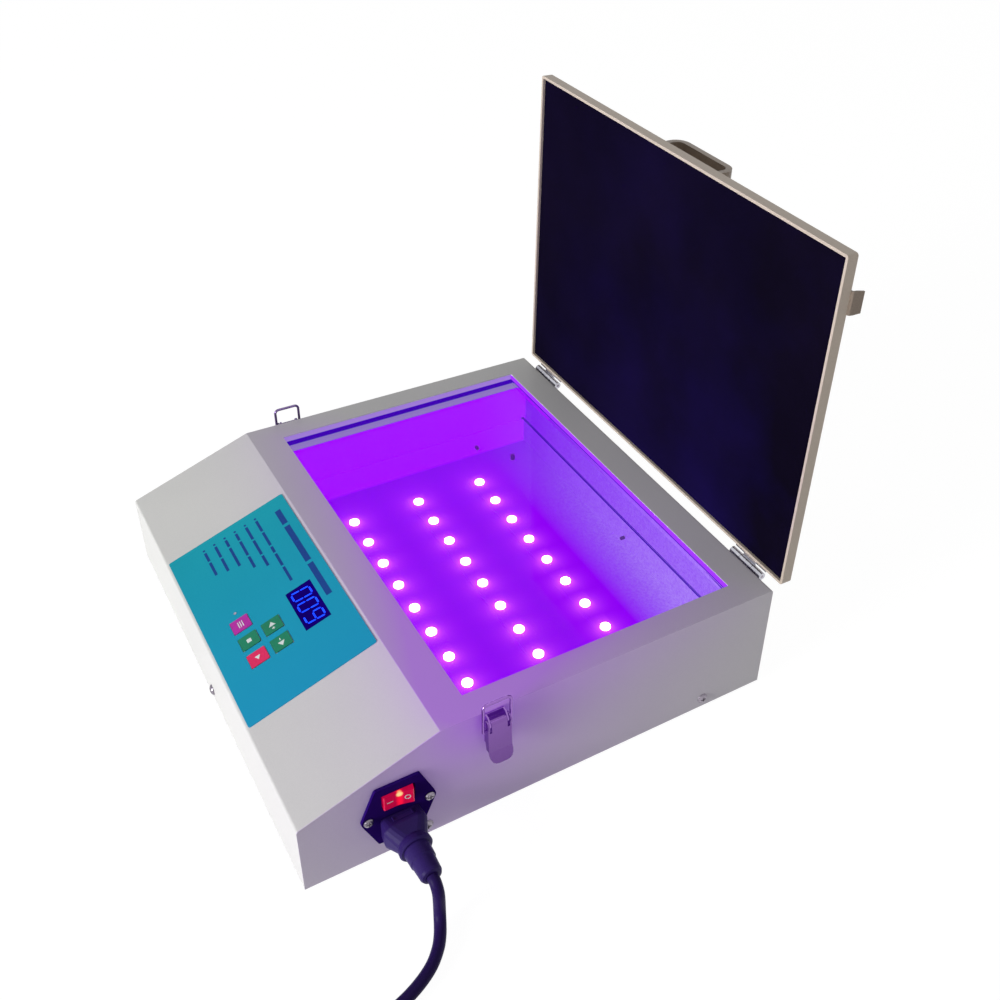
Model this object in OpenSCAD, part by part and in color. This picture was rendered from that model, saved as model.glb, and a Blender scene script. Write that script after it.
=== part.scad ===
// Desktop screen printing exposure unit: a folded steel light box with a
// sloping control face, a glass bed over ultraviolet LED strips, and a padded
// lid on two butt hinges that is held down by a toggle latch on each side.
// Millimetres. X runs side to side, Y from the front lip to the hinges, Z up.

/* [Body] */
// Width of the body, side to side
body_w = 350; // [346:1:400]
// Depth of the body, front lip to back wall
body_d = 345; // [342:1:400]
// Height of the body without its feet
body_h = 88; // [84:1:110]
// Height of the upright front lip
lip_h = 54; // [48:1:58]
// Depth of the sloping control face, measured level
slope_d = 92; // [88:1:97]
// Thickness of the folded steel sheet
sheet = 1.2; // [0.8:0.1:1.6]
// Outside radius of the bends
bend_r = 2; // [1.6:0.1:3]

/* [Light window] */
// Width of the top face on each side of the window
window_side = 19; // [17:0.5:35]
// Width of the top face from the upper bend to the window
window_front = 23.5; // [20:0.5:26]
// Width of the top face behind the window
window_back = 24.5; // [22:0.5:50]
// Depth of the window's folded edge, from the top face
window_lip = 6; // [4:0.5:8]
// Thickness of the glass bed
glass_t = 4; // [3:0.5:6]
// Clearance round the glass bed in the window
glass_fit = 0.5; // [0.3:0.1:1]
// How far the glass rails run past the window at each end
rail_past = 8; // [5:0.5:10]
// Width of glass rail that shows inside the window
rail_show = 7.4; // [4:0.1:10]
// Height of the rail's upright leg
rail_leg = 18; // [12:1:24]

/* [Base and feet] */
// Height of the base tray's upturned edges
tray_h = 23.5; // [20:0.5:26]
// Gap between the base tray and the case
tray_fit = 0.3; // [0.2:0.1:0.6]
// Height of the rubber feet
foot_h = 4; // [3:0.5:8]
// Radius of the rubber feet
foot_r = 8; // [7:0.5:11]
// Distance of each foot's centre from the body's sides
foot_inset = 26; // [20:1:40]
// Height of the cover screws above the body's lower edge
cover_screw_z = 8; // [6:0.5:10]
// Distance of the front pair of side cover screws from the front
cover_screw_front = 80.5; // [75:0.5:90]
// Distance of the rear pair of side cover screws from the back
cover_screw_back = 51; // [36:1:70]
// Distance from the front of the body to the divider plate
divider_y = 100; // [98:0.5:101]

/* [Lid] */
// Distance from the upper bend to the lid's front edge
lid_from_bend = 3.5; // [1:0.5:7]
// Height of the lid's folded edge
lid_t = 8; // [7.5:0.5:12]
// Width of the lid's hemmed rim
lid_rim = 2; // [1.6:0.1:3]
// Radius of the lid's upright corners
lid_corner_r = 2; // [1:0.5:5]
// Gap between the shut lid and the top face
lid_gap = 0.2; // [0.2:0.1:1]
// Angle of the lid in its open rest
lid_open = 91; // [80:1:100]

/* [Lid hinges] */
// Distance of the hinge axis behind the body
hinge_back = 4; // [3.8:0.1:5]
// Depth of the hinge axis below the top face
hinge_drop = 2.5; // [2:0.1:4]
// Length of a hinge along its axis
hinge_l = 34; // [28:1:44]
// Distance of a hinge's middle from the side of the body
hinge_in = 34; // [28:1:50]
// Outer radius of the hinge knuckles
knuckle_r = 2.8; // [2.4:0.1:3]
// Radius of the hinge pin
hinge_pin_r = 1.2; // [1:0.1:1.5]
// Thickness of the hinge leaves
leaf_t = 1.2; // [0.8:0.1:1.4]
// Height of the leaf on the body
body_leaf_h = 15; // [13:0.5:20]

/* [Latches] */
// Distance from the front of the body to the middle of a latch
latch_y = 127.5; // [118:0.5:150]
// Depth of the lever's pivot below the top face
pivot_drop = 6; // [5:0.5:8]
// Distance of the lever's pivot from the side wall
pivot_out = 5; // [4.6:0.1:5.5]
// Distance from the lever's pivot down to the bail's pivot
bail_below = 6; // [5:0.5:7]
// Distance of the bail from the side wall
bail_out = 4.2; // [4.1:0.1:4.6]
// Height of the bail, pivot to cross bar
bail_l = 22.7; // [21:0.1:25]
// Radius of the bail's wire
wire_r = 1; // [0.8:0.1:1.1]
// Width over the lever's flanges
lever_w = 16; // [14:0.5:18]
// Thickness of the latch's steel
latch_t = 1; // [0.8:0.1:1.2]
// Distance from the pivot down to the lever's crease
lever_l = 21; // [18:0.5:26]
// Length of the lever's flared tongue, measured down
tongue_l = 7.5; // [6:0.5:14]
// Distance that the tongue flares out
tongue_out = 3.8; // [3:0.1:6]
// Radius of the lever's pivot pin
latch_pin_r = 1.5; // [1.2:0.1:1.8]
// Angle through which a lever is thrown
lever_throw = 150; // [120:5:150]
// Height of the catch's hook above the lid
hook_h = 8.4; // [5:0.1:9]
// Distance that the hook reaches out past the lid
hook_out = 2.9; // [2:0.1:2.9]

/* [Lid handle] */
// Length of the handle at its feet
handle_l = 84; // [74:1:100]
// Length of the handle's grip at the top
handle_top_l = 66; // [56:1:72]
// Height of the handle above the lid
handle_h = 24; // [20:1:30]
// Width of the handle's strap
handle_w = 22; // [16:1:26]
// Thickness of the handle's strap
handle_t = 4.5; // [3:0.5:6]
// Distance from the lid's front edge to the handle
handle_in = 6; // [4:1:20]

/* [Control panel] */
// Width of the panel sheet
panel_w = 176; // [150:1:200]
// Height of the panel sheet along the slope
panel_h = 93.5; // [86:0.5:95]
// Distance from the lower bend to the panel sheet
panel_up = 2; // [2:0.5:4]
// Thickness of the panel sheet
panel_t = 0.5; // [0.4:0.1:0.8]
// Offset of the display's middle from the body's middle
display_x = 25.4; // [10:0.1:40]
// Distance of the display's middle up the slope
display_s = 70.8; // [66:0.1:76]
// Width of the display window
display_w = 39.7; // [34:0.1:44]
// Height of the display window
display_h = 19.2; // [16:0.1:22]
// Offset of the first key from the body's middle
key_x = 6.1; // [0:0.1:12]
// Distance of the lower row of keys up the slope
key_s = 26.7; // [22:0.1:30]
// Spacing of the keys both ways
key_pitch = 17.5; // [16:0.1:20]
// Width of a key
key_w = 12; // [10:0.1:13]
// Height of a key
key_h = 13.2; // [11:0.1:14]
// Travel of a key
key_travel = 0.35; // [0.2:0.05:0.4]
// Clearance round a key
key_fit = 0.3; // [0.2:0.05:0.5]
// Height of the gap behind the case that holds the circuit board
board_drop = 8; // [7:0.5:10]

/* [Mains inlet] */
// Distance from the front of the body to the inlet's middle
inlet_y = 62.2; // [58:0.1:66]
// Height of the inlet's middle above the body's lower edge
inlet_z = 37.6; // [33:0.1:39]
// Width of the inlet plate over its tips
inlet_w = 49.4; // [49:0.1:54]
// Height of the inlet plate
inlet_h = 48.6; // [48:0.1:54]
// Length of the inlet plate's top and bottom edges
inlet_flat = 29; // [28:0.5:34]
// Thickness of the inlet plate
inlet_t = 2; // [1.6:0.1:3.4]
// Spacing of the inlet's two screws
inlet_screw_pitch = 40; // [38:0.5:41]
// Height of the rocker's middle above the inlet's middle
rocker_up = 12; // [11.5:0.1:12.5]
// Width of the rocker
rocker_w = 19.8; // [18:0.1:21]
// Height of the rocker
rocker_h = 11.4; // [11:0.1:12.6]
// Tilt of the rocker to each side of level
rocker_tilt = 7; // [5:1:8]
// Distance of the socket's middle below the inlet's middle
socket_down = 11; // [10.5:0.1:11.4]

/* [Light source] */
// Number of LEDs on a strip
led_count = 8; // [6:1:8]
// Spacing of the LEDs along a strip
led_pitch = 29.5; // [24:0.1:31]
// Offset of the strips' middle from the body's middle
led_x = -26; // [-30:1:0]
// Distance from the front of the body to the first strip
led_y = 158; // [150:1:165]
// Spacing of the strips
strip_pitch = 58.5; // [50:0.5:62]
// Width of a strip
strip_w = 14; // [12:0.5:20]
// Thickness of a strip
strip_t = 1.6; // [1:0.1:3]
// Length of strip past its last LEDs
strip_end = 10; // [8:0.5:14]
// Radius of an LED's body
led_r = 4; // [3:0.1:5]
// Radius of an LED's lens
lens_r = 2.7; // [2:0.1:2.9]

/* [Electronics] */
// Length of the power supply
supply_l = 98; // [80:1:110]
// Width of the power supply
supply_w = 58; // [50:1:70]
// Height of the power supply
supply_h = 33; // [28:1:36]
// Width of the circuit board
board_w = 84; // [80:1:96]
// Height of the circuit board along the slope
board_h = 76; // [72:1:80]

/* [Mains lead] */
// Diameter of the lead
lead_d = 7.5; // [6.5:0.1:8]
// Length of the moulded connector outside the inlet plate
connector_l = 45; // [42:1:48]
// Radius of the coil's outer turn
coil_r = 52; // [48:1:60]
// Gap between the coil's turns
coil_gap = 0.9; // [0.8:0.1:2]

/* [Hidden] */

$fn = 48;

// Colours
paint = [0.82, 0.83, 0.82];
lid_paint = [0.86, 0.86, 0.84];
steel = [0.75, 0.76, 0.78];
black = [0.10, 0.09, 0.13];
taupe = [0.46, 0.42, 0.38];
teal = [0.11, 0.55, 0.68];

// Window in the top face
window_w = body_w - 2 * window_side;
window_y = slope_d + window_front;
window_d = body_d - window_y - window_back;

// Levels and angles
top_z = foot_h + body_h;
floor_z = foot_h + sheet;
slope_a = atan2(body_h - lip_h, slope_d);
glass_top = top_z - window_lip - 0.2;
glass_z = glass_top - glass_t;
eps = 0.01;
cut = 1;

// Hinge axis
hinge_y = body_d + hinge_back;
hinge_z = top_z - hinge_drop;
lid_z = top_z + lid_gap;
lid_front = slope_d + lid_from_bend;
lid_l = body_d - lid_front;
knuckle_gap = 0.25;
stop_gap = 0.05;
running = 0.05;

// Middle of the whole object front to back, from the front cover screw's
// head to the top of the handle on the open lid
screw_head_h = 1.8;
handle_reach = lid_z + lid_t + handle_h - hinge_z;
handle_arm = lid_front + handle_in - hinge_y;
back_y = hinge_y + handle_arm * cos(lid_open) + handle_reach * sin(lid_open);
mid_y = (back_y - screw_head_h) / 2;

// Latch parts, measured out from the side wall and down from the top face
ear_out = 6.6;
flange_in = lever_w / 2 - latch_t;
bail_half = lever_w / 2 + 0.5 + wire_r;
pivot_z = top_z - pivot_drop;
bail_z = pivot_z - bail_below;
catch_half = lever_w / 2;

// Control face parts
key_gap = 0.45;
key_cap_t = 0.45;
stem_r = 1.7;
switch_h = 3.5;
stem_end = board_drop - switch_h + 0.7;
lamp_x = -6.1;
lamp_r = 1;
board_x = display_x - 6;
board_s = 50;
standoff_r = 2.5;

// Inlet parts
inlet_body_w = 27.5;
inlet_body_h = 41;
inlet_depth = 28;
socket_w = 24.6;
socket_h = 16.8;
socket_bevel = 4.5;
socket_depth = 15;
rocker_well_w = rocker_w + 1.8;
rocker_well_h = rocker_h + 0.5;
rocker_axis_in = 1.5;

// Mains lead: the route is laid by hand from the connector to the coil
lead_r = lead_d / 2;
plug_x = body_w / 2 + inlet_t + connector_l;
plug_z = foot_h + inlet_z - socket_down;
coil_x = 325;
coil_y = -56;
coil_turns = 2;
coil_end_x = coil_x + coil_r;
front_route = [
    [plug_x, inlet_y, plug_z], [plug_x + 3, inlet_y, plug_z - 0.5],
    [227.6, 62.2, 27.6], [229.4, 62.2, 23.4], [230.1, 62.1, 17.5], [230.8, 61.8, 12.2],
    [232.8, 60.9, 7.8], [236.6, 59.2, 4.9], [241.8, 56.6, 3.9], [248.8, 52, 3.8],
    [256.8, 44, 3.8], [263.4, 33, 3.8], [268.4, 20, 3.8], [271.6, 5, 3.8],
    [272.8, -12, 3.8], [273, -30, 3.8], [coil_x - coil_r, coil_y + lead_d, 3.8]
];
layer_rise = lead_d + 0.9;
tail_route = [
    [coil_end_x, coil_y + lead_d, 3.8 + layer_rise], [377, -37, 11.3],
    [377.4, -25, 8.4], [378.6, -12, 5], [380.6, 1, 3.8], [382.8, 13, 4.6],
    [384.6, 24, 7.8], [385.4, 34, 10.8], [385.5, 42, 11.5]
];

// Arc that replaces corner b of the outline a, b, c
function corner_arc(a, b, c, r, n) =
    let (
        u = (a - b) / norm(a - b),
        v = (c - b) / norm(c - b),
        half = acos(u * v) / 2,
        mid = b + (u + v) / norm(u + v) * r / sin(half),
        p = b + u * r / tan(half) - mid,
        q = b + v * r / tan(half) - mid,
        start = atan2(p[1], p[0]),
        turn = (atan2(q[1], q[0]) - start + 540) % 360 - 180
    )
    [for (k = [0:n]) mid + r * [cos(start + turn * k / n), sin(start + turn * k / n)]];

// Outline with each corner rounded by its own radius
function rounded(pts, radii, n = 4) =
    let (last = len(pts) - 1)
    [for (i = [0:last])
        let (r = is_list(radii) ? radii[i] : radii)
        each r <= 0 ? [pts[i]]
            : corner_arc(pts[i == 0 ? last : i - 1], pts[i], pts[i == last ? 0 : i + 1], r, n)];

// Rectangle with rounded corners, centred
function round_rect(w, h, r, n = 4) =
    rounded([[w / 2, h / 2], [-w / 2, h / 2], [-w / 2, -h / 2], [w / 2, -h / 2]], r, n);

// Side outline of the case, drawn in by t on every sheet and open below
function case_profile(t) =
    let (
        low = foot_h - t,
        high = top_z - t,
        lip = foot_h + lip_h + t * tan(slope_a) - t / cos(slope_a),
        crest = (body_h - lip_h - t + t / cos(slope_a)) / tan(slope_a),
        r = bend_r - t
    )
    rounded([[t, low], [t, lip], [crest, high], [body_d - t, high], [body_d - t, low]],
        [0, r, r, r, 0]);

// Moves the model so that its middle stands over the origin
module stand() {
    translate([0, -mid_y, 0]) children();
}

// Extrudes an outline drawn in Y and Z across the body, centred
module along_x(w) {
    rotate([90, 0, 90]) linear_extrude(w, center = true) children();
}

// Extrudes an outline drawn in X and Z front to back, centred
module along_y(w) {
    rotate([90, 0, 0]) linear_extrude(w, center = true) children();
}

// Swings the lid's parts from shut to their open rest
module opened() {
    translate([0, hinge_y, hinge_z]) rotate([-lid_open, 0, 0])
        translate([0, -hinge_y, -hinge_z]) children();
}

// Frame of the control face: X across, Y up the slope, Z out of it
module on_slope() {
    translate([0, 0, foot_h + lip_h]) rotate([slope_a, 0, 0]) children();
}

// Frame of the right side wall at the inlet: X to the back, Y up, Z out
module at_inlet() {
    translate([body_w / 2, inlet_y, foot_h + inlet_z]) rotate([90, 0, 90]) children();
}

// Mirrors a right-hand part to the side that is asked for
module on_side(right) {
    mirror([right ? 0 : 1, 0, 0]) children();
}

// Pan-head screw with a cross recess, head up, seated on Z = 0
module pan_screw(head_r, head_h, shank_r, shank_l) {
    recess = head_r * 1.2;
    recess_w = head_r * 0.28;
    difference() {
        union() {
            rotate_extrude() polygon([
                [0, 0], [head_r, 0], [head_r, head_h * 0.35], [head_r * 0.85, head_h * 0.75],
                [head_r * 0.55, head_h], [0, head_h]
            ]);
            translate([0, 0, -shank_l]) cylinder(r = shank_r, h = shank_l + eps, $fn = 24);
        }
        for (turn = [0, 90]) rotate([0, 0, turn])
            translate([-recess / 2, -recess_w / 2, head_h * 0.45])
                cube([recess, recess_w, head_h]);
    }
}

// Domed rivet head with its shank, seated on Z = 0
module rivet(head_r, head_h, shank_r, shank_l) {
    rotate_extrude() polygon([
        [0, head_h], [head_r * 0.6, head_h * 0.8], [head_r, 0], [shank_r, 0],
        [shank_r, -shank_l], [0, -shank_l]
    ]);
}

// Places its children at each cover screw, Z out of the wall
module at_cover_screws() {
    z = foot_h + cover_screw_z;
    for (y = [cover_screw_front, body_d - cover_screw_back]) {
        translate([body_w / 2, y, z]) rotate([0, 90, 0]) children();
        translate([-body_w / 2, y, z]) rotate([0, -90, 0]) children();
    }
    translate([0, 0, z]) rotate([90, 0, 0]) children();
    translate([0, body_d, z]) rotate([-90, 0, 0]) children();
}

cover_screw_r = 1.5;
cover_head_r = 3.4;

// Window opening, down through the folded edge
module window_opening() {
    translate([-window_w / 2, window_y, top_z - window_lip - cut])
        cube([window_w, window_d, window_lip + 2 * cut]);
}

// Hole that the inlet's body passes through
module inlet_hole() {
    at_inlet() translate([-inlet_body_w / 2 - tray_fit, -inlet_body_h / 2 - tray_fit, -8])
        cube([inlet_body_w + 2 * tray_fit, inlet_body_h + 2 * tray_fit, 8 + cut]);
}

// Folded and welded steel case, open below
module case_shell() {
    color(paint) stand() difference() {
        union() {
            difference() {
                along_x(body_w) polygon(case_profile(0));
                along_x(body_w - 2 * sheet) polygon(case_profile(sheet));
            }
            translate([-window_w / 2 - sheet, window_y - sheet, top_z - window_lip])
                cube([window_w + 2 * sheet, window_d + 2 * sheet, window_lip - sheet / 2]);
        }
        window_opening();
        inlet_hole();
        at_cover_screws() translate([0, 0, -6]) cylinder(r = cover_screw_r + 0.1, h = 7, $fn = 24);
        on_slope() {
            translate([display_x, display_s, 0])
                cube([display_w - 1, display_h - 0.6, 6], center = true);
            at_keys() cylinder(r = stem_r + 0.8, h = 6, center = true, $fn = 24);
            translate([lamp_x, key_s, -3]) cylinder(r = lamp_r + 0.1, h = 6, $fn = 24);
        }
        at_inlet() for (s = [-1, 1]) translate([s * inlet_screw_pitch / 2, 0, -6])
            cylinder(r = 1.7, h = 8, $fn = 24);
        at_hinge_screws() translate([0, 0, -4]) cylinder(r = hinge_screw_r + 0.1, h = 6, $fn = 24);
        for (right = [true, false]) on_side(right) at_latch_rivets()
            translate([0, 0, -4]) cylinder(r = rivet_r + 0.05, h = 6, $fn = 24);
    }
}

// Base tray with its edges turned up inside the case
module base_plate() {
    half = body_w / 2 - sheet - tray_fit;
    near = sheet + tray_fit;
    far = body_d - sheet - tray_fit;
    color(steel) stand() difference() {
        translate([-half, near, foot_h]) cube([2 * half, far - near, tray_h]);
        translate([-half + sheet, near + sheet, floor_z])
            cube([2 * (half - sheet), far - near - 2 * sheet, tray_h]);
        inlet_hole();
        at_cover_screws() translate([0, 0, -6]) cylinder(r = cover_screw_r + 0.1, h = 7, $fn = 24);
        at_feet() translate([0, 0, -cut]) cylinder(r = foot_screw_r + 0.1, h = sheet + 2 * cut, $fn = 24);
    }
}

// Screws that hold the case to the base tray
module cover_screws() {
    color(steel) stand() at_cover_screws() pan_screw(cover_head_r, screw_head_h, cover_screw_r, 6);
}

foot_screw_r = 2;

// Places its children under each corner of the base, at the base's underside
module at_feet() {
    for (x = [foot_inset - body_w / 2, body_w / 2 - foot_inset], y = [foot_inset, body_d - foot_inset])
        translate([x, y, foot_h]) children();
}

// Four tapered rubber feet, each with a pocket for its screw
module rubber_feet() {
    pocket = foot_h * 0.6;
    color(black) stand() at_feet() rotate_extrude() polygon([
        [foot_screw_r + 0.1, 0], [foot_r, 0], [foot_r, -foot_h * 0.3], [foot_r - 1, -foot_h],
        [foot_r * 0.55, -foot_h], [foot_r * 0.55, -foot_h + pocket], [foot_screw_r + 0.1, -foot_h + pocket]
    ]);
}

// Screws in the feet's pockets, heads down
module foot_screws() {
    color(steel) stand() at_feet() translate([0, 0, -foot_h * 0.4]) rotate([180, 0, 0])
        pan_screw(foot_r * 0.48, foot_h * 0.4, foot_screw_r, foot_h * 0.4 + sheet + 4);
}

// Glass bed on the rails, let in from above and clear of the folded edge
module glass_plate() {
    w = window_w - 2 * glass_fit;
    color([0.75, 0.9, 0.9, 0.4]) stand()
        translate([-w / 2, window_y + glass_fit, glass_z])
            cube([w, window_d - 2 * glass_fit, glass_t]);
}

// Angle rail welded inside a side wall, carrying one edge of the glass
module glass_rail(right) {
    wall = body_w / 2 - sheet;
    shelf = window_w / 2 - rail_show;
    len_y = window_d + 2 * rail_past;
    color(paint) stand() on_side(right) difference() {
        translate([0, window_y - rail_past + len_y / 2, 0]) along_y(len_y) polygon([
            [wall, glass_z], [shelf, glass_z], [shelf, glass_z - sheet],
            [wall - sheet, glass_z - sheet], [wall - sheet, glass_z - rail_leg], [wall, glass_z - rail_leg]
        ]);
        at_latch_rivets() translate([0, 0, -4]) cylinder(r = rivet_r + 0.05, h = 6, $fn = 24);
    }
}

// Upright plate between the light chamber and the electronics
module divider_plate() {
    half = body_w / 2 - 2 * (sheet + tray_fit);
    flange = 12;
    high = top_z - sheet - tray_fit;
    color(paint) stand() along_x(2 * half) polygon([
        [divider_y, floor_z], [divider_y, high], [divider_y - sheet, high],
        [divider_y - sheet, floor_z + sheet], [divider_y - flange, floor_z + sheet],
        [divider_y - flange, floor_z]
    ]);
}

strip_l = (led_count - 1) * led_pitch + 2 * strip_end;

// One aluminium LED strip, row counted from the front
module led_strip(row) {
    hole_x = strip_l / 2 - 4;
    color([0.9, 0.9, 0.92]) stand()
        translate([led_x, led_y + row * strip_pitch, floor_z]) difference() {
            linear_extrude(strip_t) polygon(round_rect(strip_l, strip_w, 2));
            for (s = [-1, 1]) translate([s * hole_x, 0, -cut])
                cylinder(r = 1.6, h = strip_t + 2 * cut, $fn = 24);
        }
}

// All the LEDs, each a round body with a domed lens
module led_beads() {
    body = 1.4;
    dome = [for (a = [0:15:90]) [lens_r * cos(a), body + lens_r * 0.8 * sin(a)]];
    first = led_x - (led_count - 1) * led_pitch / 2;
    color([0.95, 0.85, 1]) stand()
        for (row = [0:2], i = [0:led_count - 1])
            translate([first + i * led_pitch, led_y + row * strip_pitch, floor_z + strip_t])
                rotate_extrude($fn = 24) polygon(concat([[0, 0], [led_r, 0], [led_r, body]], dome));
}

supply_x = foot_inset + foot_r + 6 - body_w / 2;
supply_y = 14;

// Caged power supply on the tray, with slotted ends
module power_supply() {
    slots = 6;
    slot_pitch = 7;
    block_l = 14;
    color([0.7, 0.7, 0.68]) stand() translate([supply_x, supply_y, floor_z]) difference() {
        cube([supply_l, supply_w, supply_h]);
        translate([supply_l - block_l, -cut, 10]) cube([block_l + cut, supply_w + 2 * cut, supply_h]);
        for (i = [0:slots - 1]) translate([12 + i * slot_pitch, -cut, 8])
            cube([2.5, supply_w + 2 * cut, supply_h - 16]);
    }
}

// Screw terminals at the end of the power supply
module terminal_block() {
    ways = 5;
    way_w = 8;
    block_w = ways * way_w + 2;
    color(black) stand()
        translate([supply_x + supply_l - 13, supply_y + (supply_w - block_w) / 2, floor_z + 10])
            difference() {
                cube([12, block_w, 12]);
                for (i = [0:ways - 1]) translate([2, 2 + i * way_w, 5]) cube([12, way_w - 2, 8]);
            }
}

// Places its children at each key, by column and row
module at_keys() {
    for (k = [[0, 0], [1, 0], [2, 0], [1, 1], [2, 1]]) at_key(k[0], k[1]) children();
}

// Places its children at one key
module at_key(col, row) {
    translate([key_x + col * key_pitch, key_s + row * key_pitch, 0]) children();
}

// Circuit board behind the control face
module control_board() {
    color([0.1, 0.4, 0.2]) stand() on_slope() difference() {
        translate([board_x - board_w / 2, board_s - board_h / 2, -board_drop - 1.6])
            cube([board_w, board_h, 1.6]);
        at_standoffs() translate([0, 0, -board_drop - 2.6]) cylinder(r = 1.6, h = 4, $fn = 24);
    }
}

// Places its children at the circuit board's corners
module at_standoffs() {
    for (sx = [-1, 1], sy = [-1, 1])
        translate([board_x + sx * (board_w / 2 - 4), board_s + sy * (board_h / 2 - 4), 0]) children();
}

// Pillars that carry the circuit board on the case
module board_standoffs() {
    color(steel) stand() on_slope() at_standoffs() union() {
        translate([0, 0, -board_drop]) cylinder(r = standoff_r, h = board_drop - sheet, $fn = 6);
        translate([0, 0, -board_drop - 1.6]) rotate([180, 0, 0]) pan_screw(2.8, 1.6, 1.5, 3);
    }
}

// Three-digit display on the circuit board, seen through the case
module display_module() {
    color(black) stand() on_slope() translate([display_x, display_s, -board_drop])
        translate([1.2 - display_w / 2, 0.8 - display_h / 2, 0])
            cube([display_w - 2.4, display_h - 1.6, board_drop - 0.1]);
}

// Dark window over the display
module display_window() {
    color([0.03, 0.04, 0.25]) stand() on_slope() translate([display_x, display_s, 0])
        linear_extrude(panel_t) square([display_w, display_h], center = true);
}

// Coloured panel sheet with openings for the window, the keys and the lamp
module panel_overlay() {
    color(teal) stand() on_slope() difference() {
        translate([0, panel_up + panel_h / 2, 0]) linear_extrude(panel_t)
            polygon(round_rect(panel_w, panel_h, 1.5));
        translate([display_x, display_s, 0]) cube([display_w, display_h, 4], center = true);
        at_keys() cube([key_w + 2 * key_fit, key_h + 2 * key_fit, 4], center = true);
        translate([lamp_x, key_s, -2]) cylinder(r = lamp_r + 0.1, h = 4, $fn = 24);
    }
}

// Push switches on the circuit board, each guiding its key's stem
module key_switches() {
    size = 6;
    color(black) stand() on_slope() at_keys() difference() {
        translate([-size / 2, -size / 2, -board_drop]) cube([size, size, switch_h]);
        translate([0, 0, -board_drop + switch_h - 1.6]) cylinder(r = stem_r + running, h = 2, $fn = 24);
    }
}

// Small lamp beside the keys
module status_lamp() {
    color([0.8, 0.2, 0.2]) stand() on_slope() translate([lamp_x, key_s, -board_drop])
        cylinder(r = lamp_r, h = board_drop + panel_t + 0.2, $fn = 24);
}

// One key: a flat cap in its opening, with a stem down to its switch
module panel_key(col, row, tint) {
    color(tint) stand() on_slope() at_key(col, row) {
        translate([0, 0, key_gap]) linear_extrude(key_cap_t) polygon(round_rect(key_w, key_h, 0.8, 3));
        translate([0, 0, -stem_end]) cylinder(r = stem_r, h = stem_end + key_gap + eps, $fn = 24);
    }
}

// Outline of the inlet plate: a hexagon with rounded tips at its screws
function inlet_outline() = rounded([
    [inlet_w / 2, 0], [inlet_flat / 2, inlet_h / 2], [-inlet_flat / 2, inlet_h / 2],
    [-inlet_w / 2, 0], [-inlet_flat / 2, -inlet_h / 2], [inlet_flat / 2, -inlet_h / 2]
], [5, 1.5, 1.5, 5, 1.5, 1.5], 6);

// Outline of the socket, with its two lower corners bevelled
function socket_outline(fit) =
    let (w = socket_w / 2 - fit, h = socket_h / 2 - fit, b = socket_bevel)
    [[w, h], [-w, h], [-w, b - h], [b - w, -h], [w - b, -h], [w, b - h]];

// Places its children at the three contacts, at the socket's middle height
module at_contacts() {
    for (p = [[-7, 2], [7, 2], [0, -2]]) translate([p[0], p[1] - socket_down, 0]) children();
}

contact_w = 2;
contact_h = 4;

// Black inlet plate with the switch well and the mains socket
module inlet_housing() {
    color(black) stand() at_inlet() difference() {
        union() {
            linear_extrude(inlet_t) polygon(inlet_outline());
            translate([-inlet_body_w / 2, -inlet_body_h / 2, -inlet_depth])
                cube([inlet_body_w, inlet_body_h, inlet_depth + eps]);
        }
        translate([0, -socket_down, inlet_t - socket_depth]) linear_extrude(socket_depth + cut)
            polygon(socket_outline(0));
        translate([-rocker_well_w / 2, rocker_up - rocker_well_h / 2, -10])
            cube([rocker_well_w, rocker_well_h, 10 + inlet_t + cut]);
        translate([0, rocker_up, -rocker_axis_in]) rotate([90, 0, 0])
            cylinder(r = 1.2 + running, h = rocker_well_h + 2.4, center = true, $fn = 24);
        for (s = [-1, 1]) translate([s * inlet_screw_pitch / 2, 0, -cut])
            cylinder(r = 1.7, h = inlet_t + 2 * cut, $fn = 24);
        at_contacts() translate([-contact_w / 2, -contact_h / 2, -inlet_depth - cut])
            cube([contact_w, contact_h, inlet_depth]);
    }
}

// Three flat contacts in the socket, with their tabs behind
module inlet_pins() {
    color([0.8, 0.75, 0.5]) stand() at_inlet() at_contacts()
        translate([-contact_w / 2, -contact_h / 2, -inlet_depth - 8])
            cube([contact_w, contact_h, inlet_depth + 8 + inlet_t - 4]);
}

// Screws at the inlet plate's tips
module inlet_screws() {
    color(steel) stand() at_inlet() for (s = [-1, 1])
        translate([s * inlet_screw_pitch / 2, 0, inlet_t]) pan_screw(3.2, 1.7, 1.6, inlet_t + 5);
}

// Red rocker on its pivot, pressed in at its front end
module rocker_switch() {
    w = rocker_w / 2;
    color([0.8, 0.1, 0.15]) stand() at_inlet()
        translate([0, rocker_up, -rocker_axis_in]) rotate([0, -rocker_tilt, 0]) union() {
            along_y(rocker_h) polygon(rounded([
                [w - 0.4, 6.4], [0, 5.2], [0.4 - w, 6.4], [-w, 1.5], [3 - w, -2.5], [w - 3, -2.5], [w, 1.5]
            ], [0.8, 12, 0.8, 0.5, 0.5, 0.5, 0.5]));
            rotate([90, 0, 0]) cylinder(r = 1.2, h = rocker_well_h + 2, center = true, $fn = 24);
        }
}

hinge_screw_r = 1.5;
hinge_screw_z = hinge_z - 9;

// Places its children at each hinge screw on the back wall, Z out
module at_hinge_screws() {
    for (side = [-1, 1], s = [-1, 1])
        translate([side * (body_w / 2 - hinge_in) + s * hinge_l * 0.3, body_d, hinge_screw_z])
            rotate([-90, 0, 0]) children();
}

end_knuckle = hinge_l * 0.3;
mid_knuckle = hinge_l - 2 * end_knuckle - 2 * knuckle_gap;

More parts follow.
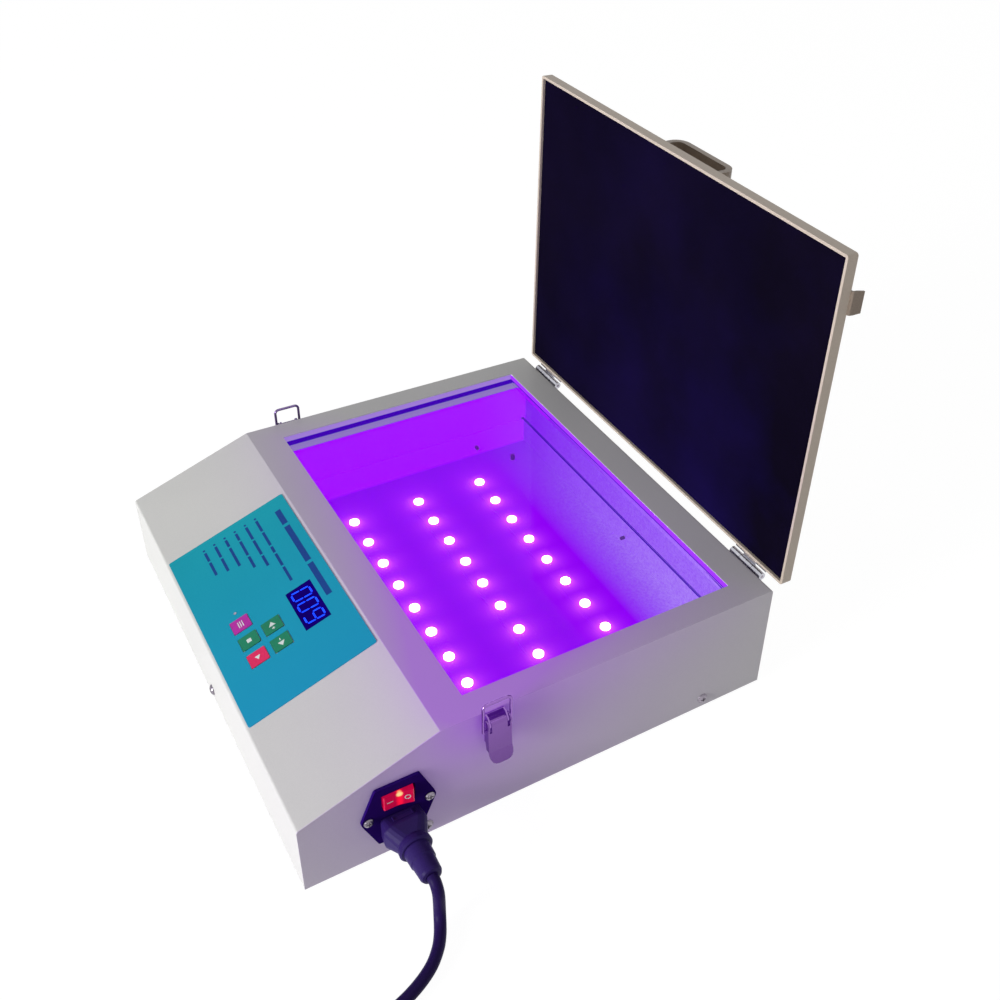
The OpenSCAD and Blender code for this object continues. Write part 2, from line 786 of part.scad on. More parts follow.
// Leaf on the back wall with the two outer knuckles
module hinge_leaf(right) {
    link_z = hinge_z - knuckle_r + 0.2;
    color(steel) stand() on_side(right) translate([body_w / 2 - hinge_in, 0, 0]) difference() {
        union() {
            translate([-hinge_l / 2, body_d, hinge_z - body_leaf_h])
                cube([hinge_l, leaf_t, body_leaf_h - knuckle_r - 0.4]);
            for (s = [-1, 1]) translate([s * (hinge_l - end_knuckle) / 2, 0, 0]) {
                translate([-end_knuckle / 2, body_d, link_z - 1.2]) cube([end_knuckle, leaf_t, leaf_t + 1.2]);
                translate([-end_knuckle / 2, body_d, link_z]) cube([end_knuckle, hinge_back, leaf_t]);
                translate([0, hinge_y, hinge_z]) rotate([0, 90, 0])
                    cylinder(r = knuckle_r, h = end_knuckle, center = true);
            }
        }
        translate([0, hinge_y, hinge_z]) rotate([0, 90, 0])
            cylinder(r = hinge_pin_r, h = hinge_l + 2 * cut, center = true);
        for (s = [-1, 1]) translate([s * hinge_l * 0.3, body_d, hinge_screw_z]) rotate([-90, 0, 0])
            translate([0, 0, -cut]) cylinder(r = hinge_screw_r + 0.1, h = leaf_t + 2 * cut, $fn = 24);
    }
}

// Pins through both hinges
module hinge_pins() {
    color(steel) stand() for (side = [-1, 1])
        translate([side * (body_w / 2 - hinge_in), hinge_y, hinge_z]) rotate([0, 90, 0])
            cylinder(r = hinge_pin_r, h = hinge_l, center = true);
}

// Screws through the hinge leaves on the back wall
module hinge_screws() {
    color(steel) stand() at_hinge_screws() translate([0, 0, leaf_t])
        pan_screw(2.7, 1.4, hinge_screw_r, leaf_t + sheet + 2);
}

// Leaf on the lid's back edge with the middle knuckle and its stop heel
module lid_leaf(right) {
    heel_l = 6;
    heel_t = 1.2;
    heel_in = hinge_back - leaf_t - stop_gap;
    link_z = hinge_z + knuckle_r - leaf_t - 0.2;
    color(steel) stand() opened() on_side(right) translate([body_w / 2 - hinge_in, 0, 0]) difference() {
        union() {
            translate([-hinge_l / 2, body_d, lid_z]) cube([hinge_l, leaf_t, lid_t - 0.6]);
            translate([-mid_knuckle / 2, body_d + 0.2, link_z]) cube([mid_knuckle, hinge_back - 0.2, leaf_t]);
            translate([-mid_knuckle / 2, body_d + 0.2, link_z]) cube([mid_knuckle, leaf_t, lid_z - link_z + 2]);
            translate([0, hinge_y, hinge_z]) rotate([0, 90, 0])
                cylinder(r = knuckle_r, h = mid_knuckle, center = true);
            translate([0, hinge_y, hinge_z]) rotate([lid_open, 0, 0])
                translate([-mid_knuckle / 2, -heel_in, -heel_l]) cube([mid_knuckle, heel_t, heel_l]);
        }
        translate([0, hinge_y, hinge_z]) rotate([0, 90, 0])
            cylinder(r = hinge_pin_r + running, h = hinge_l, center = true);
        for (s = [-1, 1]) translate([s * hinge_l * 0.3, body_d - cut, lid_z + lid_t / 2]) rotate([-90, 0, 0])
            cylinder(r = rivet_r + 0.05, h = leaf_t + 2 * cut, $fn = 24);
    }
}

// Frame of the right latch: X out of the side wall, Z up, at the top face
module at_latch() {
    translate([body_w / 2, latch_y, 0]) children();
}

rivet_r = 1.3;

// Places its children at the rivets of the right latch's base, Z out
module at_latch_rivets() {
    at_latch() for (s = [-1, 1]) translate([0, s * 3.4, pivot_z - 15]) rotate([0, 90, 0]) children();
}

// Riveted base with two ears that carry the lever's pin
module latch_base(right) {
    half = flange_in - 0.4;
    web_top = top_z - 1;
    web_h = 24;
    color(steel) stand() on_side(right) difference() {
        at_latch() union() {
            translate([0, -half, web_top - web_h]) cube([latch_t, 2 * half, web_h]);
            for (s = [-1, 1]) translate([0, s * (half - latch_t / 2), 0]) {
                along_y(latch_t) polygon([
                    [0, pivot_z - 8], [latch_t, pivot_z - 8], [pivot_out + 1.6, pivot_z - 1.8],
                    [pivot_out + 1.6, pivot_z + 1.6], [pivot_out - 1, web_top], [0, web_top]
                ]);
                translate([pivot_out, 0, pivot_z]) rotate([90, 0, 0])
                    cylinder(r = 2.4, h = latch_t, center = true, $fn = 32);
            }
        }
        at_latch() translate([pivot_out, 0, pivot_z]) rotate([90, 0, 0])
            cylinder(r = latch_pin_r, h = lever_w, center = true, $fn = 32);
        at_latch_rivets() translate([0, 0, -cut])
            cylinder(r = rivet_r + 0.05, h = latch_t + 2 * cut, $fn = 24);
    }
}

// Pivot pins of both latches and the rivets of their bases
module latch_pins() {
    color(steel) stand() for (right = [true, false]) on_side(right) {
        at_latch() translate([pivot_out, 0, pivot_z]) rotate([90, 0, 0])
            cylinder(r = latch_pin_r, h = lever_w + 0.2, center = true, $fn = 32);
        at_latch_rivets() translate([0, 0, latch_t]) rivet(2.4, 0.9, rivet_r, latch_t + 2 * sheet + 0.8);
    }
}

// Side outline of the lever's face plate and tongue, from the pivot down
function lever_face(from, to) =
    let (lean = 1.4, x0 = pivot_out + 1.6)
    [
        [x0 + lean * from / lever_l, pivot_z - from], [x0 + latch_t + lean * from / lever_l, pivot_z - from],
        [x0 + latch_t + lean * to / lever_l, pivot_z - to], [x0 + lean * to / lever_l, pivot_z - to]
    ];

// Lever with two flanges, a rolled barrel on the pin and a flared tongue
module latch_lever(right) {
    barrel_r = latch_pin_r + 1.1;
    narrow = flange_in - latch_t - 0.7;
    shoulder = 5;
    crease_x = pivot_out + 3;
    crease_z = pivot_z - lever_l;
    color(steel) stand() on_side(right) at_latch() difference() {
        union() {
            translate([pivot_out, 0, pivot_z]) rotate([90, 0, 0])
                cylinder(r = barrel_r, h = 2 * narrow, center = true, $fn = 32);
            along_y(2 * narrow) polygon(lever_face(0, shoulder + 0.5));
            along_y(lever_w) polygon(lever_face(shoulder, lever_l));
            intersection() {
                along_y(lever_w) polygon([
                    [crease_x, crease_z + eps], [crease_x + latch_t, crease_z + eps],
                    [crease_x + latch_t + tongue_out, crease_z - tongue_l],
                    [crease_x + tongue_out, crease_z - tongue_l]
                ]);
                translate([crease_x, 0, crease_z]) along_x(30) polygon(rounded([
                    [-lever_w / 2, 1], [-lever_w / 2, -tongue_l], [lever_w / 2, -tongue_l], [lever_w / 2, 1]
                ], [0, 5, 5, 0]));
            }
            for (s = [-1, 1]) translate([0, s * (lever_w - latch_t) / 2, 0]) {
                along_y(latch_t) polygon([
                    [pivot_out - 3, pivot_z], [pivot_out - 3, bail_z - 1], [pivot_out + 0.4, crease_z],
                    [crease_x + latch_t, crease_z], [pivot_out + 3, pivot_z - shoulder],
                    [pivot_out + 3, pivot_z]
                ]);
                translate([pivot_out, 0, pivot_z]) rotate([90, 0, 0])
                    cylinder(r = 3.5, h = latch_t, center = true, $fn = 32);
            }
        }
        translate([pivot_out, 0, pivot_z]) rotate([90, 0, 0])
            cylinder(r = latch_pin_r + running, h = lever_w + 2 * cut, center = true, $fn = 32);
        translate([bail_out, 0, bail_z]) rotate([90, 0, 0])
            cylinder(r = wire_r + running, h = lever_w + 2 * cut, center = true, $fn = 32);
    }
}

// Wire bail: two legs, a cross bar and inturned ends in the lever's flanges
module latch_bail(right) {
    bend = 3;
    end_in = flange_in - 0.2;
    color(steel) stand() on_side(right) at_latch() translate([bail_out, 0, bail_z]) union() {
        for (s = [-1, 1]) {
            translate([0, s * bail_half, 0]) cylinder(r = wire_r, h = bail_l - bend, $fn = 24);
            translate([0, s * bail_half, 0]) sphere(r = wire_r, $fn = 24);
            translate([0, s * (bail_half + end_in) / 2, 0]) rotate([90, 0, 0])
                cylinder(r = wire_r, h = bail_half - end_in, center = true, $fn = 24);
            translate([0, s * (bail_half - bend), bail_l - bend]) rotate([s > 0 ? 0 : 180, 0, 0])
                rotate([0, s > 0 ? 0 : 180, 0]) bail_corner(bend);
        }
        translate([0, 0, bail_l]) rotate([90, 0, 0])
            cylinder(r = wire_r, h = 2 * (bail_half - bend), center = true, $fn = 24);
    }
}

// Quarter ring from the Y axis to the Z axis
module bail_corner(bend) {
    rotate([90, 0, 90]) rotate_extrude(angle = 90) translate([bend, 0]) circle(r = wire_r, $fn = 24);
}

// Folded lid pan, open towards the glass
module lid_shell() {
    w = body_w;
    color(lid_paint) stand() opened() difference() {
        translate([0, lid_front + lid_l / 2, lid_z]) linear_extrude(lid_t)
            polygon(round_rect(w, lid_l, lid_corner_r));
        translate([-w / 2 + lid_rim, lid_front + lid_rim, lid_z - cut])
            cube([w - 2 * lid_rim, lid_l - 2 * lid_rim, lid_t - sheet + cut]);
        at_lid_rivets() translate([0, 0, -4]) cylinder(r = rivet_r + 0.05, h = 6, $fn = 24);
        at_handle_screws() translate([0, 0, -4]) cylinder(r = 1.6, h = 6, $fn = 24);
    }
}

// Dark pad that presses the film on the glass
module lid_pad() {
    inset = lid_rim + 0.3;
    color([0.08, 0.06, 0.16]) stand() opened()
        translate([inset - body_w / 2, lid_front + inset, lid_z])
            cube([body_w - 2 * inset, lid_l - 2 * inset, lid_t - sheet - 1.6]);
}

// Places its children at the handle's screws, Z out of the lid
module at_handle_screws() {
    for (s = [-1, 1]) translate([s * (handle_l / 2 - 5), lid_front + handle_in + handle_w / 2, lid_z + lid_t])
        children();
}

// Outline of the handle's arch, drawn in by t
arch_r = 10;
function handle_arch(t) = rounded([
    [-handle_l / 2 + 10 + t, t > 0 ? -cut : 0], [-handle_top_l / 2 + t, handle_h - t],
    [handle_top_l / 2 - t, handle_h - t], [handle_l / 2 - 10 - t, t > 0 ? -cut : 0]
], [0, arch_r - t, arch_r - t, 0], 6);

// Arched strap handle with a foot at each end
module lid_handle() {
    foot_l = 12;
    color(taupe) stand() opened()
        translate([0, lid_front + handle_in + handle_w / 2, lid_z + lid_t]) difference() {
            union() {
                along_y(handle_w) difference() {
                    polygon(handle_arch(0));
                    polygon(handle_arch(handle_t));
                }
                for (s = [-1, 1]) translate([s * (handle_l / 2 - foot_l / 2), 0, 0])
                    linear_extrude(2.5) polygon(round_rect(foot_l, handle_w, 3));
            }
            for (s = [-1, 1]) translate([s * (handle_l / 2 - 5), 0, -cut]) cylinder(r = 1.6, h = 6, $fn = 24);
        }
}

// Screws in the handle's feet
module handle_screws() {
    color(steel) stand() opened() at_handle_screws() translate([0, 0, 2.5])
        pan_screw(2.8, 1.4, 1.5, 2.5 + sheet + 1.2);
}

// Catch plate on the lid's outer face with an upturned hook at the edge
module catch_plate(right) {
    base_l = 16;
    z = lid_z + lid_t;
    tip = z + hook_h;
    color(steel) stand() opened() on_side(right) difference() {
        translate([body_w / 2, latch_y, 0]) intersection() {
            along_y(2 * catch_half) polygon([
                [-base_l, z], [0.6, z], [1.6, z + 0.9], [hook_out, tip], [hook_out - latch_t, tip],
                [0.5, z + latch_t + 0.3], [0, z + latch_t], [-base_l, z + latch_t]
            ]);
            along_x(60) polygon([
                [-catch_half, z - cut], [catch_half, z - cut], [catch_half, z + hook_h * 0.4],
                [catch_half * 0.9, tip + cut], [-catch_half * 0.9, tip + cut],
                [-catch_half, z + hook_h * 0.4]
            ]);
        }
        for (s = [-1, 1]) translate([body_w / 2 - 9, latch_y + s * 4.5, z - cut])
            cylinder(r = rivet_r + 0.05, h = latch_t + 2 * cut, $fn = 24);
    }
}

// Places its children at every rivet in the lid, Z out of the metal
module at_lid_rivets() {
    for (right = [true, false]) on_side(right) {
        for (s = [-1, 1]) {
            translate([body_w / 2 - 9, latch_y + s * 4.5, lid_z + lid_t]) children();
            translate([body_w / 2 - hinge_in + s * hinge_l * 0.3, body_d, lid_z + lid_t / 2])
                rotate([-90, 0, 0]) children();
        }
    }
}

// Rivets of the catch plates and of the lid's hinge leaves
module lid_rivets() {
    color(steel) stand() opened() for (right = [true, false]) on_side(right) for (s = [-1, 1]) {
        translate([body_w / 2 - 9, latch_y + s * 4.5, lid_z + lid_t + latch_t])
            rivet(2.4, 0.9, rivet_r, latch_t + sheet + 1);
        translate([body_w / 2 - hinge_in + s * hinge_l * 0.3, body_d + leaf_t, lid_z + lid_t / 2])
            rotate([-90, 0, 0]) rivet(2.3, 0.8, rivet_r, leaf_t + lid_rim);
    }
}

// Moulded connector in the socket: contact block, grip with a raised frame,
// collar and strain relief
module cord_connector() {
    collar_l = 5;
    grip_l = connector_l * 0.42;
    relief_l = connector_l - grip_l - collar_l;
    grip_w = 28;
    grip_h = 21;
    frame_w = 13;
    frame_l = 4;
    color(black) stand() at_inlet() translate([0, -socket_down, 0]) difference() {
        union() {
            translate([0, 0, inlet_t - socket_depth + 2]) linear_extrude(socket_depth)
                polygon(socket_outline(0.4));
            translate([0, 0, inlet_t + 0.3]) hull() {
                linear_extrude(0.5) polygon(round_rect(grip_w - 2.5, grip_h - 2.5, 3));
                translate([0, 0, grip_l * 0.4]) linear_extrude(1) polygon(round_rect(grip_w, grip_h, 6));
                translate([0, 0, grip_l - 0.7]) linear_extrude(0.7) polygon(round_rect(19, 17, 7));
            }
            translate([-frame_w / 2, grip_h / 2 - 1.5, inlet_t + 2.5]) difference() {
                cube([frame_w, 1.8, frame_l]);
                translate([0.7, 1.3, 0.7]) cube([frame_w - 1.4, 1, frame_l - 1.4]);
            }
            translate([0, 0, inlet_t + grip_l]) rotate_extrude() polygon([
                [0, -cut], [9.6, -cut], [10.6, 1], [10.8, collar_l - 1.2], [9.8, collar_l],
                [8.4, collar_l + 0.2], [8.1, collar_l + relief_l * 0.42], [7.5, collar_l + relief_l * 0.46],
                [7, collar_l + relief_l - 2], [6.2, collar_l + relief_l - 0.5],
                [lead_d / 2 + 0.8, collar_l + relief_l], [0, collar_l + relief_l]
            ]);
        }
        translate([0, socket_down, 0]) at_contacts()
            translate([-contact_w / 2 - 0.3, -contact_h / 2 - 0.3, inlet_t - socket_depth])
                cube([contact_w + 0.6, contact_h + 0.6, socket_depth - 3]);
    }
}

// Unit vector from one point to the next
function heading(a, b) = (b - a) / norm(b - a);

// Rings of a tube along a route, whose first and last rings face along the
// given headings
function tube_rings(route, first, last, r, sides) =
    let (n = len(route) - 1)
    [for (i = [0:n])
        let (
            t = i == 0 ? first : i == n ? last : heading(route[i - 1], route[i + 1]),
            flat = cross(t, [0, 0, 1]),
            u = flat / norm(flat),
            v = cross(u, t)
        )
        for (k = [0:sides - 1])
            let (a = 360 * k / sides) route[i] + r * (cos(a) * u + sin(a) * v)];

// One closed tube along a route
module tube(route, first, last, r, sides) {
    n = len(route);
    points = tube_rings(route, first, last, r, sides);
    walls = [for (i = [0:n - 2], k = [0:sides - 1])
        let (a = i * sides + k, b = i * sides + (k + 1) % sides, c = b + sides, d = a + sides)
        each [[a, b, c], [a, c, d]]];
    near = [for (k = [1:sides - 2]) [0, k + 1, k]];
    base = (n - 1) * sides;
    far = [for (k = [1:sides - 2]) [base, base + k, base + k + 1]];
    polyhedron(points, concat(walls, near, far), convexity = 8);
}

// Free stretch of the lead, from the connector to the coil
module cord_front() {
    last = len(front_route) - 1;
    color(black) stand() tube(front_route, [1, 0, 0], [0, -1, 0], lead_r, 10);
}

// Coil: two layers that spiral in and out again, climbing in the half turn
// where the spiral reverses
coil_rings = 24;
coil_pitch = lead_d + coil_gap;
coil_steps = coil_rings * (2 * coil_turns + 0.5);
function coil_point(step) =
    let (
        turn = step / coil_rings,
        inward = min(turn, 2 * coil_turns + 0.5 - turn),
        r = coil_r - coil_pitch * inward,
        climb = min(max((turn - coil_turns) * 2, 0), 1),
        a = 180 + 360 * turn
    )
    [coil_x + r * cos(a), coil_y + r * sin(a), 3.8 + layer_rise * (1 - cos(180 * climb)) / 2];
coil_route = concat(
    [[coil_x - coil_r, coil_y + lead_d, 3.8]],
    [for (step = [0:coil_steps]) coil_point(step)],
    [[coil_x + coil_r, coil_y + lead_d, 3.8 + layer_rise]]
);

// Length of the lead and its least gap to itself
lead_route = concat(front_route, coil_route, tail_route);
lead_steps = [for (i = [1:len(lead_route) - 1]) norm(lead_route[i] - lead_route[i - 1])];
lead_gaps = [for (i = [0:len(lead_route) - 1], j = [i + coil_rings / 2:1:len(lead_route) - 1])
    norm(lead_route[i] - lead_route[j]) - lead_d];
function sum(list, i) = i < 0 ? 0 : list[i] + sum(list, i - 1);
echo(lead_length = sum(lead_steps, len(lead_steps) - 1));
echo(lead_least_gap = min(lead_gaps));

// Coiled stretch of the lead
module cord_coil() {
    color(black) stand() tube(coil_route, [0, -1, 0], [0, 1, 0], lead_r, 6);
}

// Last stretch of the lead, from the coil to the mains plug
module cord_tail() {
    color(black) stand() tube(tail_route, [0, 1, 0], [0, 1, 0], lead_r, 10);
}

plug_end = tail_route[len(tail_route) - 1];
relief_len = 20;
plug_body_l = 30;
pin_in = 10;

// Moulded three-pin mains plug on the table
module mains_plug() {
    ribs = 5;
    rib = relief_len / ribs;
    color(black) stand() translate(plug_end) rotate([-90, 0, 0]) difference() {
        union() {
            rotate_extrude() polygon(concat(
                [[0, 0], [4.8, 0]],
                [for (i = [0:ribs - 1]) each [
                    [4.8 + i * 0.5, (i + 0.1) * rib], [4.8 + i * 0.5, (i + 0.3) * rib],
                    [5.8 + i * 0.5, (i + 0.36) * rib], [6 + i * 0.5, (i + 0.98) * rib]
                ]],
                [[8, relief_len + 1], [0, relief_len + 1]]
            ));
            translate([0, 0, relief_len]) hull() {
                linear_extrude(1) polygon(round_rect(17, 16, 6));
                translate([0, 0, 8]) linear_extrude(1) polygon(round_rect(26, 23, 7));
                translate([0, 0, plug_body_l - 1]) linear_extrude(1) polygon(round_rect(26, 23, 5));
            }
        }
        translate([0, 0, relief_len + plug_body_l - pin_in]) mains_pin_set(pin_in + cut);
    }
}

// The mains plug's pins: two flat blades and a round earth pin
module mains_pin_set(length) {
    blade_t = 1.5;
    blade_w = 6.3;
    for (s = [-1, 1]) translate([s * 6.35 - blade_t / 2, 0, 0]) cube([blade_t, blade_w, length]);
    translate([0, -7.2, 0]) cylinder(r = 2.4, h = length, $fn = 24);
}

// Brass pins of the mains plug
module mains_pins() {
    color([0.85, 0.75, 0.45]) stand() translate(plug_end) rotate([-90, 0, 0])
        translate([0, 0, relief_len + plug_body_l - pin_in]) mains_pin_set(pin_in + 17);
}

case_shell();
base_plate();
cover_screws();
rubber_feet();
foot_screws();
glass_plate();
glass_rail(false);  // glass_rail_left
glass_rail(true);  // glass_rail_right
divider_plate();
led_strip(0);  // led_strip_front
led_strip(1);  // led_strip_middle
led_strip(2);  // led_strip_rear
led_beads();
power_supply();
terminal_block();
control_board();
board_standoffs();
display_module();
display_window();
panel_overlay();
key_switches();
status_lamp();
inlet_housing();
inlet_pins();
inlet_screws();
rocker_switch();
hinge_leaf(false);  // hinge_leaf_left
hinge_leaf(true);  // hinge_leaf_right
hinge_pins();
hinge_screws();
latch_base(false);  // latch_base_left
latch_base(true);  // latch_base_right
latch_pins();
lid_shell();
lid_pad();
lid_handle();
handle_screws();
catch_plate(false);  // catch_left
catch_plate(true);  // catch_right
lid_leaf(false);  // lid_leaf_left
lid_leaf(true);  // lid_leaf_right
lid_rivets();
latch_lever(false);  // latch_lever_left
latch_lever(true);  // latch_lever_right
latch_bail(false);  // latch_bail_left
latch_bail(true);  // latch_bail_right
panel_key(0, 0, [0.69, 0.13, 0.63]);  // key_mode
panel_key(1, 0, [0.04, 0.5, 0.31]);  // key_reset
panel_key(2, 0, [0.85, 0.06, 0.31]);  // key_start
panel_key(1, 1, [0.04, 0.5, 0.31]);  // key_up
panel_key(2, 1, [0.04, 0.5, 0.31]);  // key_down
cord_connector();
cord_front();
cord_coil();
cord_tail();
mains_plug();
mains_pins();
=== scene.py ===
import math
import bmesh
import bpy
from mathutils import Matrix, Vector


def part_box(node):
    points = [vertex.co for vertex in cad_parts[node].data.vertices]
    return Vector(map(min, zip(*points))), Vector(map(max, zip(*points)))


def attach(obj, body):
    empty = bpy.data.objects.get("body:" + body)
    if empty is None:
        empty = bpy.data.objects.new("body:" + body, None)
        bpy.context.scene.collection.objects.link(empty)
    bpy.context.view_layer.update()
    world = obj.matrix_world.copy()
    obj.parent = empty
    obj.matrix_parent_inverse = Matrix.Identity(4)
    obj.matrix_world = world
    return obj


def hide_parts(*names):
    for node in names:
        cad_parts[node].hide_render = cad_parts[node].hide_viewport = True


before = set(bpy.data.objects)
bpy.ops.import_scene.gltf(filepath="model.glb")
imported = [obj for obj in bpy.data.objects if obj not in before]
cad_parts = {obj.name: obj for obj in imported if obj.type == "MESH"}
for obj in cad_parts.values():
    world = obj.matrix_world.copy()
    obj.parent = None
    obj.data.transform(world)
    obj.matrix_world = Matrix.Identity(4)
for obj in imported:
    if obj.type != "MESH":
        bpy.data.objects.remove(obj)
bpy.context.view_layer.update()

# Camera: where the photographer stood, to the right of the keypad and a
# little above the open lid, looking down at the glass.
camera = bpy.data.objects.new("camera", bpy.data.cameras.new("camera"))
bpy.context.scene.collection.objects.link(camera)
camera.data.sensor_width = 36
camera.data.lens = 42.02
camera.data.shift_x = -0.0941
camera.data.shift_y = -0.0546
camera.data.clip_start = 0.02
camera_right = Vector((0.52962118, 0.84685465, 0.04835925))
camera_down = Vector((0.5096219, -0.27210562, -0.81623774))
camera_ahead = Vector((-0.6780759, 0.45694173, -0.57568857))
camera_turn = Matrix((camera_right, -camera_down, -camera_ahead)).transposed()
camera.matrix_world = Matrix.Translation((0.604156, -0.293258, 0.630703)) @ camera_turn.to_4x4()
bpy.context.scene.camera = camera


# Mains lead: a round rubber-sheathed lead that bends down out of the moulded
# connector, runs along the table and is wound into a coil of two layers.
def hue(code):
    """Linear colour of a six-figure sRGB code."""
    parts = [int(code[i:i + 2], 16) / 255 for i in (0, 2, 4)]
    return tuple(p / 12.92 if p <= 0.04045 else ((p + 0.055) / 1.055) ** 2.4 for p in parts) + (1.0,)


def new_socket(group, name, kind, incoming, value=None):
    socket = group.interface.new_socket(name, in_out="INPUT" if incoming else "OUTPUT", socket_type=kind)
    if value is not None:
        socket.default_value = value
    return socket


def build_grain_group():
    """Fine surface grain: a mask of paler and darker spots and a height."""
    group = bpy.data.node_groups.new("surface grain", "ShaderNodeTree")
    new_socket(group, "Scale", "NodeSocketFloat", True, 600.0)
    new_socket(group, "Cloud Scale", "NodeSocketFloat", True, 14.0)
    new_socket(group, "Mask", "NodeSocketFloat", False)
    new_socket(group, "Height", "NodeSocketFloat", False)
    nodes, links = group.nodes, group.links
    entry = nodes.new("NodeGroupInput")
    leave = nodes.new("NodeGroupOutput")
    place = nodes.new("ShaderNodeTexCoord")
    fine = nodes.new("ShaderNodeTexNoise")
    fine.inputs["Detail"].default_value = 3
    cloud = nodes.new("ShaderNodeTexNoise")
    cloud.inputs["Detail"].default_value = 4
    links.new(place.outputs["Object"], fine.inputs["Vector"])
    links.new(place.outputs["Object"], cloud.inputs["Vector"])
    links.new(entry.outputs["Scale"], fine.inputs["Scale"])
    links.new(entry.outputs["Cloud Scale"], cloud.inputs["Scale"])
    mean = nodes.new("ShaderNodeMath")
    mean.operation = "MULTIPLY_ADD"
    mean.inputs[1].default_value = 0.35
    half = nodes.new("ShaderNodeMath")
    half.operation = "MULTIPLY"
    half.inputs[1].default_value = 0.65
    links.new(cloud.outputs["Fac"], half.inputs[0])
    links.new(fine.outputs["Fac"], mean.inputs[0])
    links.new(half.outputs[0], mean.inputs[2])
    links.new(mean.outputs[0], leave.inputs["Mask"])
    links.new(fine.outputs["Fac"], leave.inputs["Height"])
    return group


grain = build_grain_group()


def finish_of(name, dark, pale, rough=(0.4, 0.55), metal=0.0, scale=600.0, cloud=14.0, bump=0.00003,
              coat=0.0, shine=0.5):
    """A material whose colour, roughness and height vary with the grain."""
    material = bpy.data.materials.new(name)
    material.use_nodes = True
    nodes, links = material.node_tree.nodes, material.node_tree.links
    shader = nodes["Principled BSDF"]
    shader.inputs["Metallic"].default_value = metal
    shader.inputs["Coat Weight"].default_value = coat
    shader.inputs["Coat Roughness"].default_value = 0.15
    shader.inputs["Specular IOR Level"].default_value = shine
    spots = nodes.new("ShaderNodeGroup")
    spots.node_tree = grain
    spots.inputs["Scale"].default_value = scale
    spots.inputs["Cloud Scale"].default_value = cloud
    tint = nodes.new("ShaderNodeValToRGB")
    tint.name = "tint"
    tint.color_ramp.elements[0].position = 0.36
    tint.color_ramp.elements[0].color = hue(dark)
    tint.color_ramp.elements[1].position = 0.64
    tint.color_ramp.elements[1].color = hue(pale)
    polish = nodes.new("ShaderNodeMapRange")
    polish.inputs["From Min"].default_value = 0.3
    polish.inputs["From Max"].default_value = 0.7
    polish.inputs["To Min"].default_value = rough[0]
    polish.inputs["To Max"].default_value = rough[1]
    relief = nodes.new("ShaderNodeBump")
    relief.inputs["Distance"].default_value = bump
    relief.inputs["Strength"].default_value = 0.6
    links.new(spots.outputs["Mask"], tint.inputs["Fac"])
    links.new(spots.outputs["Mask"], polish.inputs["Value"])
    links.new(spots.outputs["Height"], relief.inputs["Height"])
    links.new(tint.outputs["Color"], shader.inputs["Base Color"])
    links.new(polish.outputs["Result"], shader.inputs["Roughness"])
    links.new(relief.outputs["Normal"], shader.inputs["Normal"])
    return material


def piece_from(bm, name, material, body, smooth=True):
    """Turns a bmesh into a shown piece at the origin that rides on a body."""
    mesh = bpy.data.meshes.new(name)
    bmesh.ops.recalc_face_normals(bm, faces=bm.faces)
    bm.to_mesh(mesh)
    bm.free()
    if smooth:
        mesh.shade_smooth()
        mesh.set_sharp_from_angle(angle=math.radians(38))
    mesh.materials.append(material)
    piece = bpy.data.objects.new(name, mesh)
    bpy.context.scene.collection.objects.link(piece)
    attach(piece, body)
    return piece


def soften(points, steps):
    """Points of a smooth curve through a route's points."""
    ends = [2 * points[0] - points[1]] + points + [2 * points[-1] - points[-2]]
    curve = []
    for a, b, c, d in zip(ends, ends[1:], ends[2:], ends[3:]):
        for k in range(steps):
            t = k / steps
            curve.append(0.5 * (2 * b + (c - a) * t + (2 * a - 5 * b + 4 * c - d) * t * t
                                + (3 * b - a - 3 * c + d) * t ** 3))
    return curve + [points[-1]]


lead_d = 0.0075
middle_y = 0.193107
coil_x, coil_y, coil_r, coil_pitch, layer_rise = 325.0, -56.0, 52.0, 8.4, 8.4
lead_front = [
    (222, 62.2, 30.6), (225, 62.2, 30.1), (227.6, 62.2, 27.6), (229.4, 62.2, 23.4), (230.1, 62.1, 17.5),
    (230.8, 61.8, 12.2), (232.8, 60.9, 7.8), (236.6, 59.2, 4.9), (241.8, 56.6, 3.9), (248.8, 52, 3.8),
    (256.8, 44, 3.8), (263.4, 33, 3.8), (268.4, 20, 3.8), (271.6, 5, 3.8), (272.8, -12, 3.8),
    (273, -30, 3.8), (273, coil_y + 7.5, 3.8)]
lead_tail = [
    (377, coil_y + 7.5, 12.2), (377, -37, 11.3), (377.4, -25, 8.4), (378.6, -12, 5), (380.6, 1, 3.8),
    (382.8, 13, 4.6), (384.6, 24, 7.8), (385.4, 34, 10.8), (385.5, 42, 11.5)]
lead_coil = []
for step in range(1, 24 * 9):
    turn = step / 48
    inward = min(turn, 4.5 - turn)
    radius = coil_r - coil_pitch * inward
    climb = min(max((turn - 2) * 2, 0), 1)
    angle = math.pi * (1 + 2 * turn)
    lead_coil.append((coil_x + radius * math.cos(angle), coil_y + radius * math.sin(angle),
                      3.8 + layer_rise * (1 - math.cos(math.pi * climb)) / 2))


def in_place(points):
    return [Vector((x, y, z)) / 1000 - Vector((0, middle_y, 0)) for x, y, z in points]


lead_path = (soften(in_place(lead_front), 4) + in_place(lead_coil) + soften(in_place(lead_tail), 4))


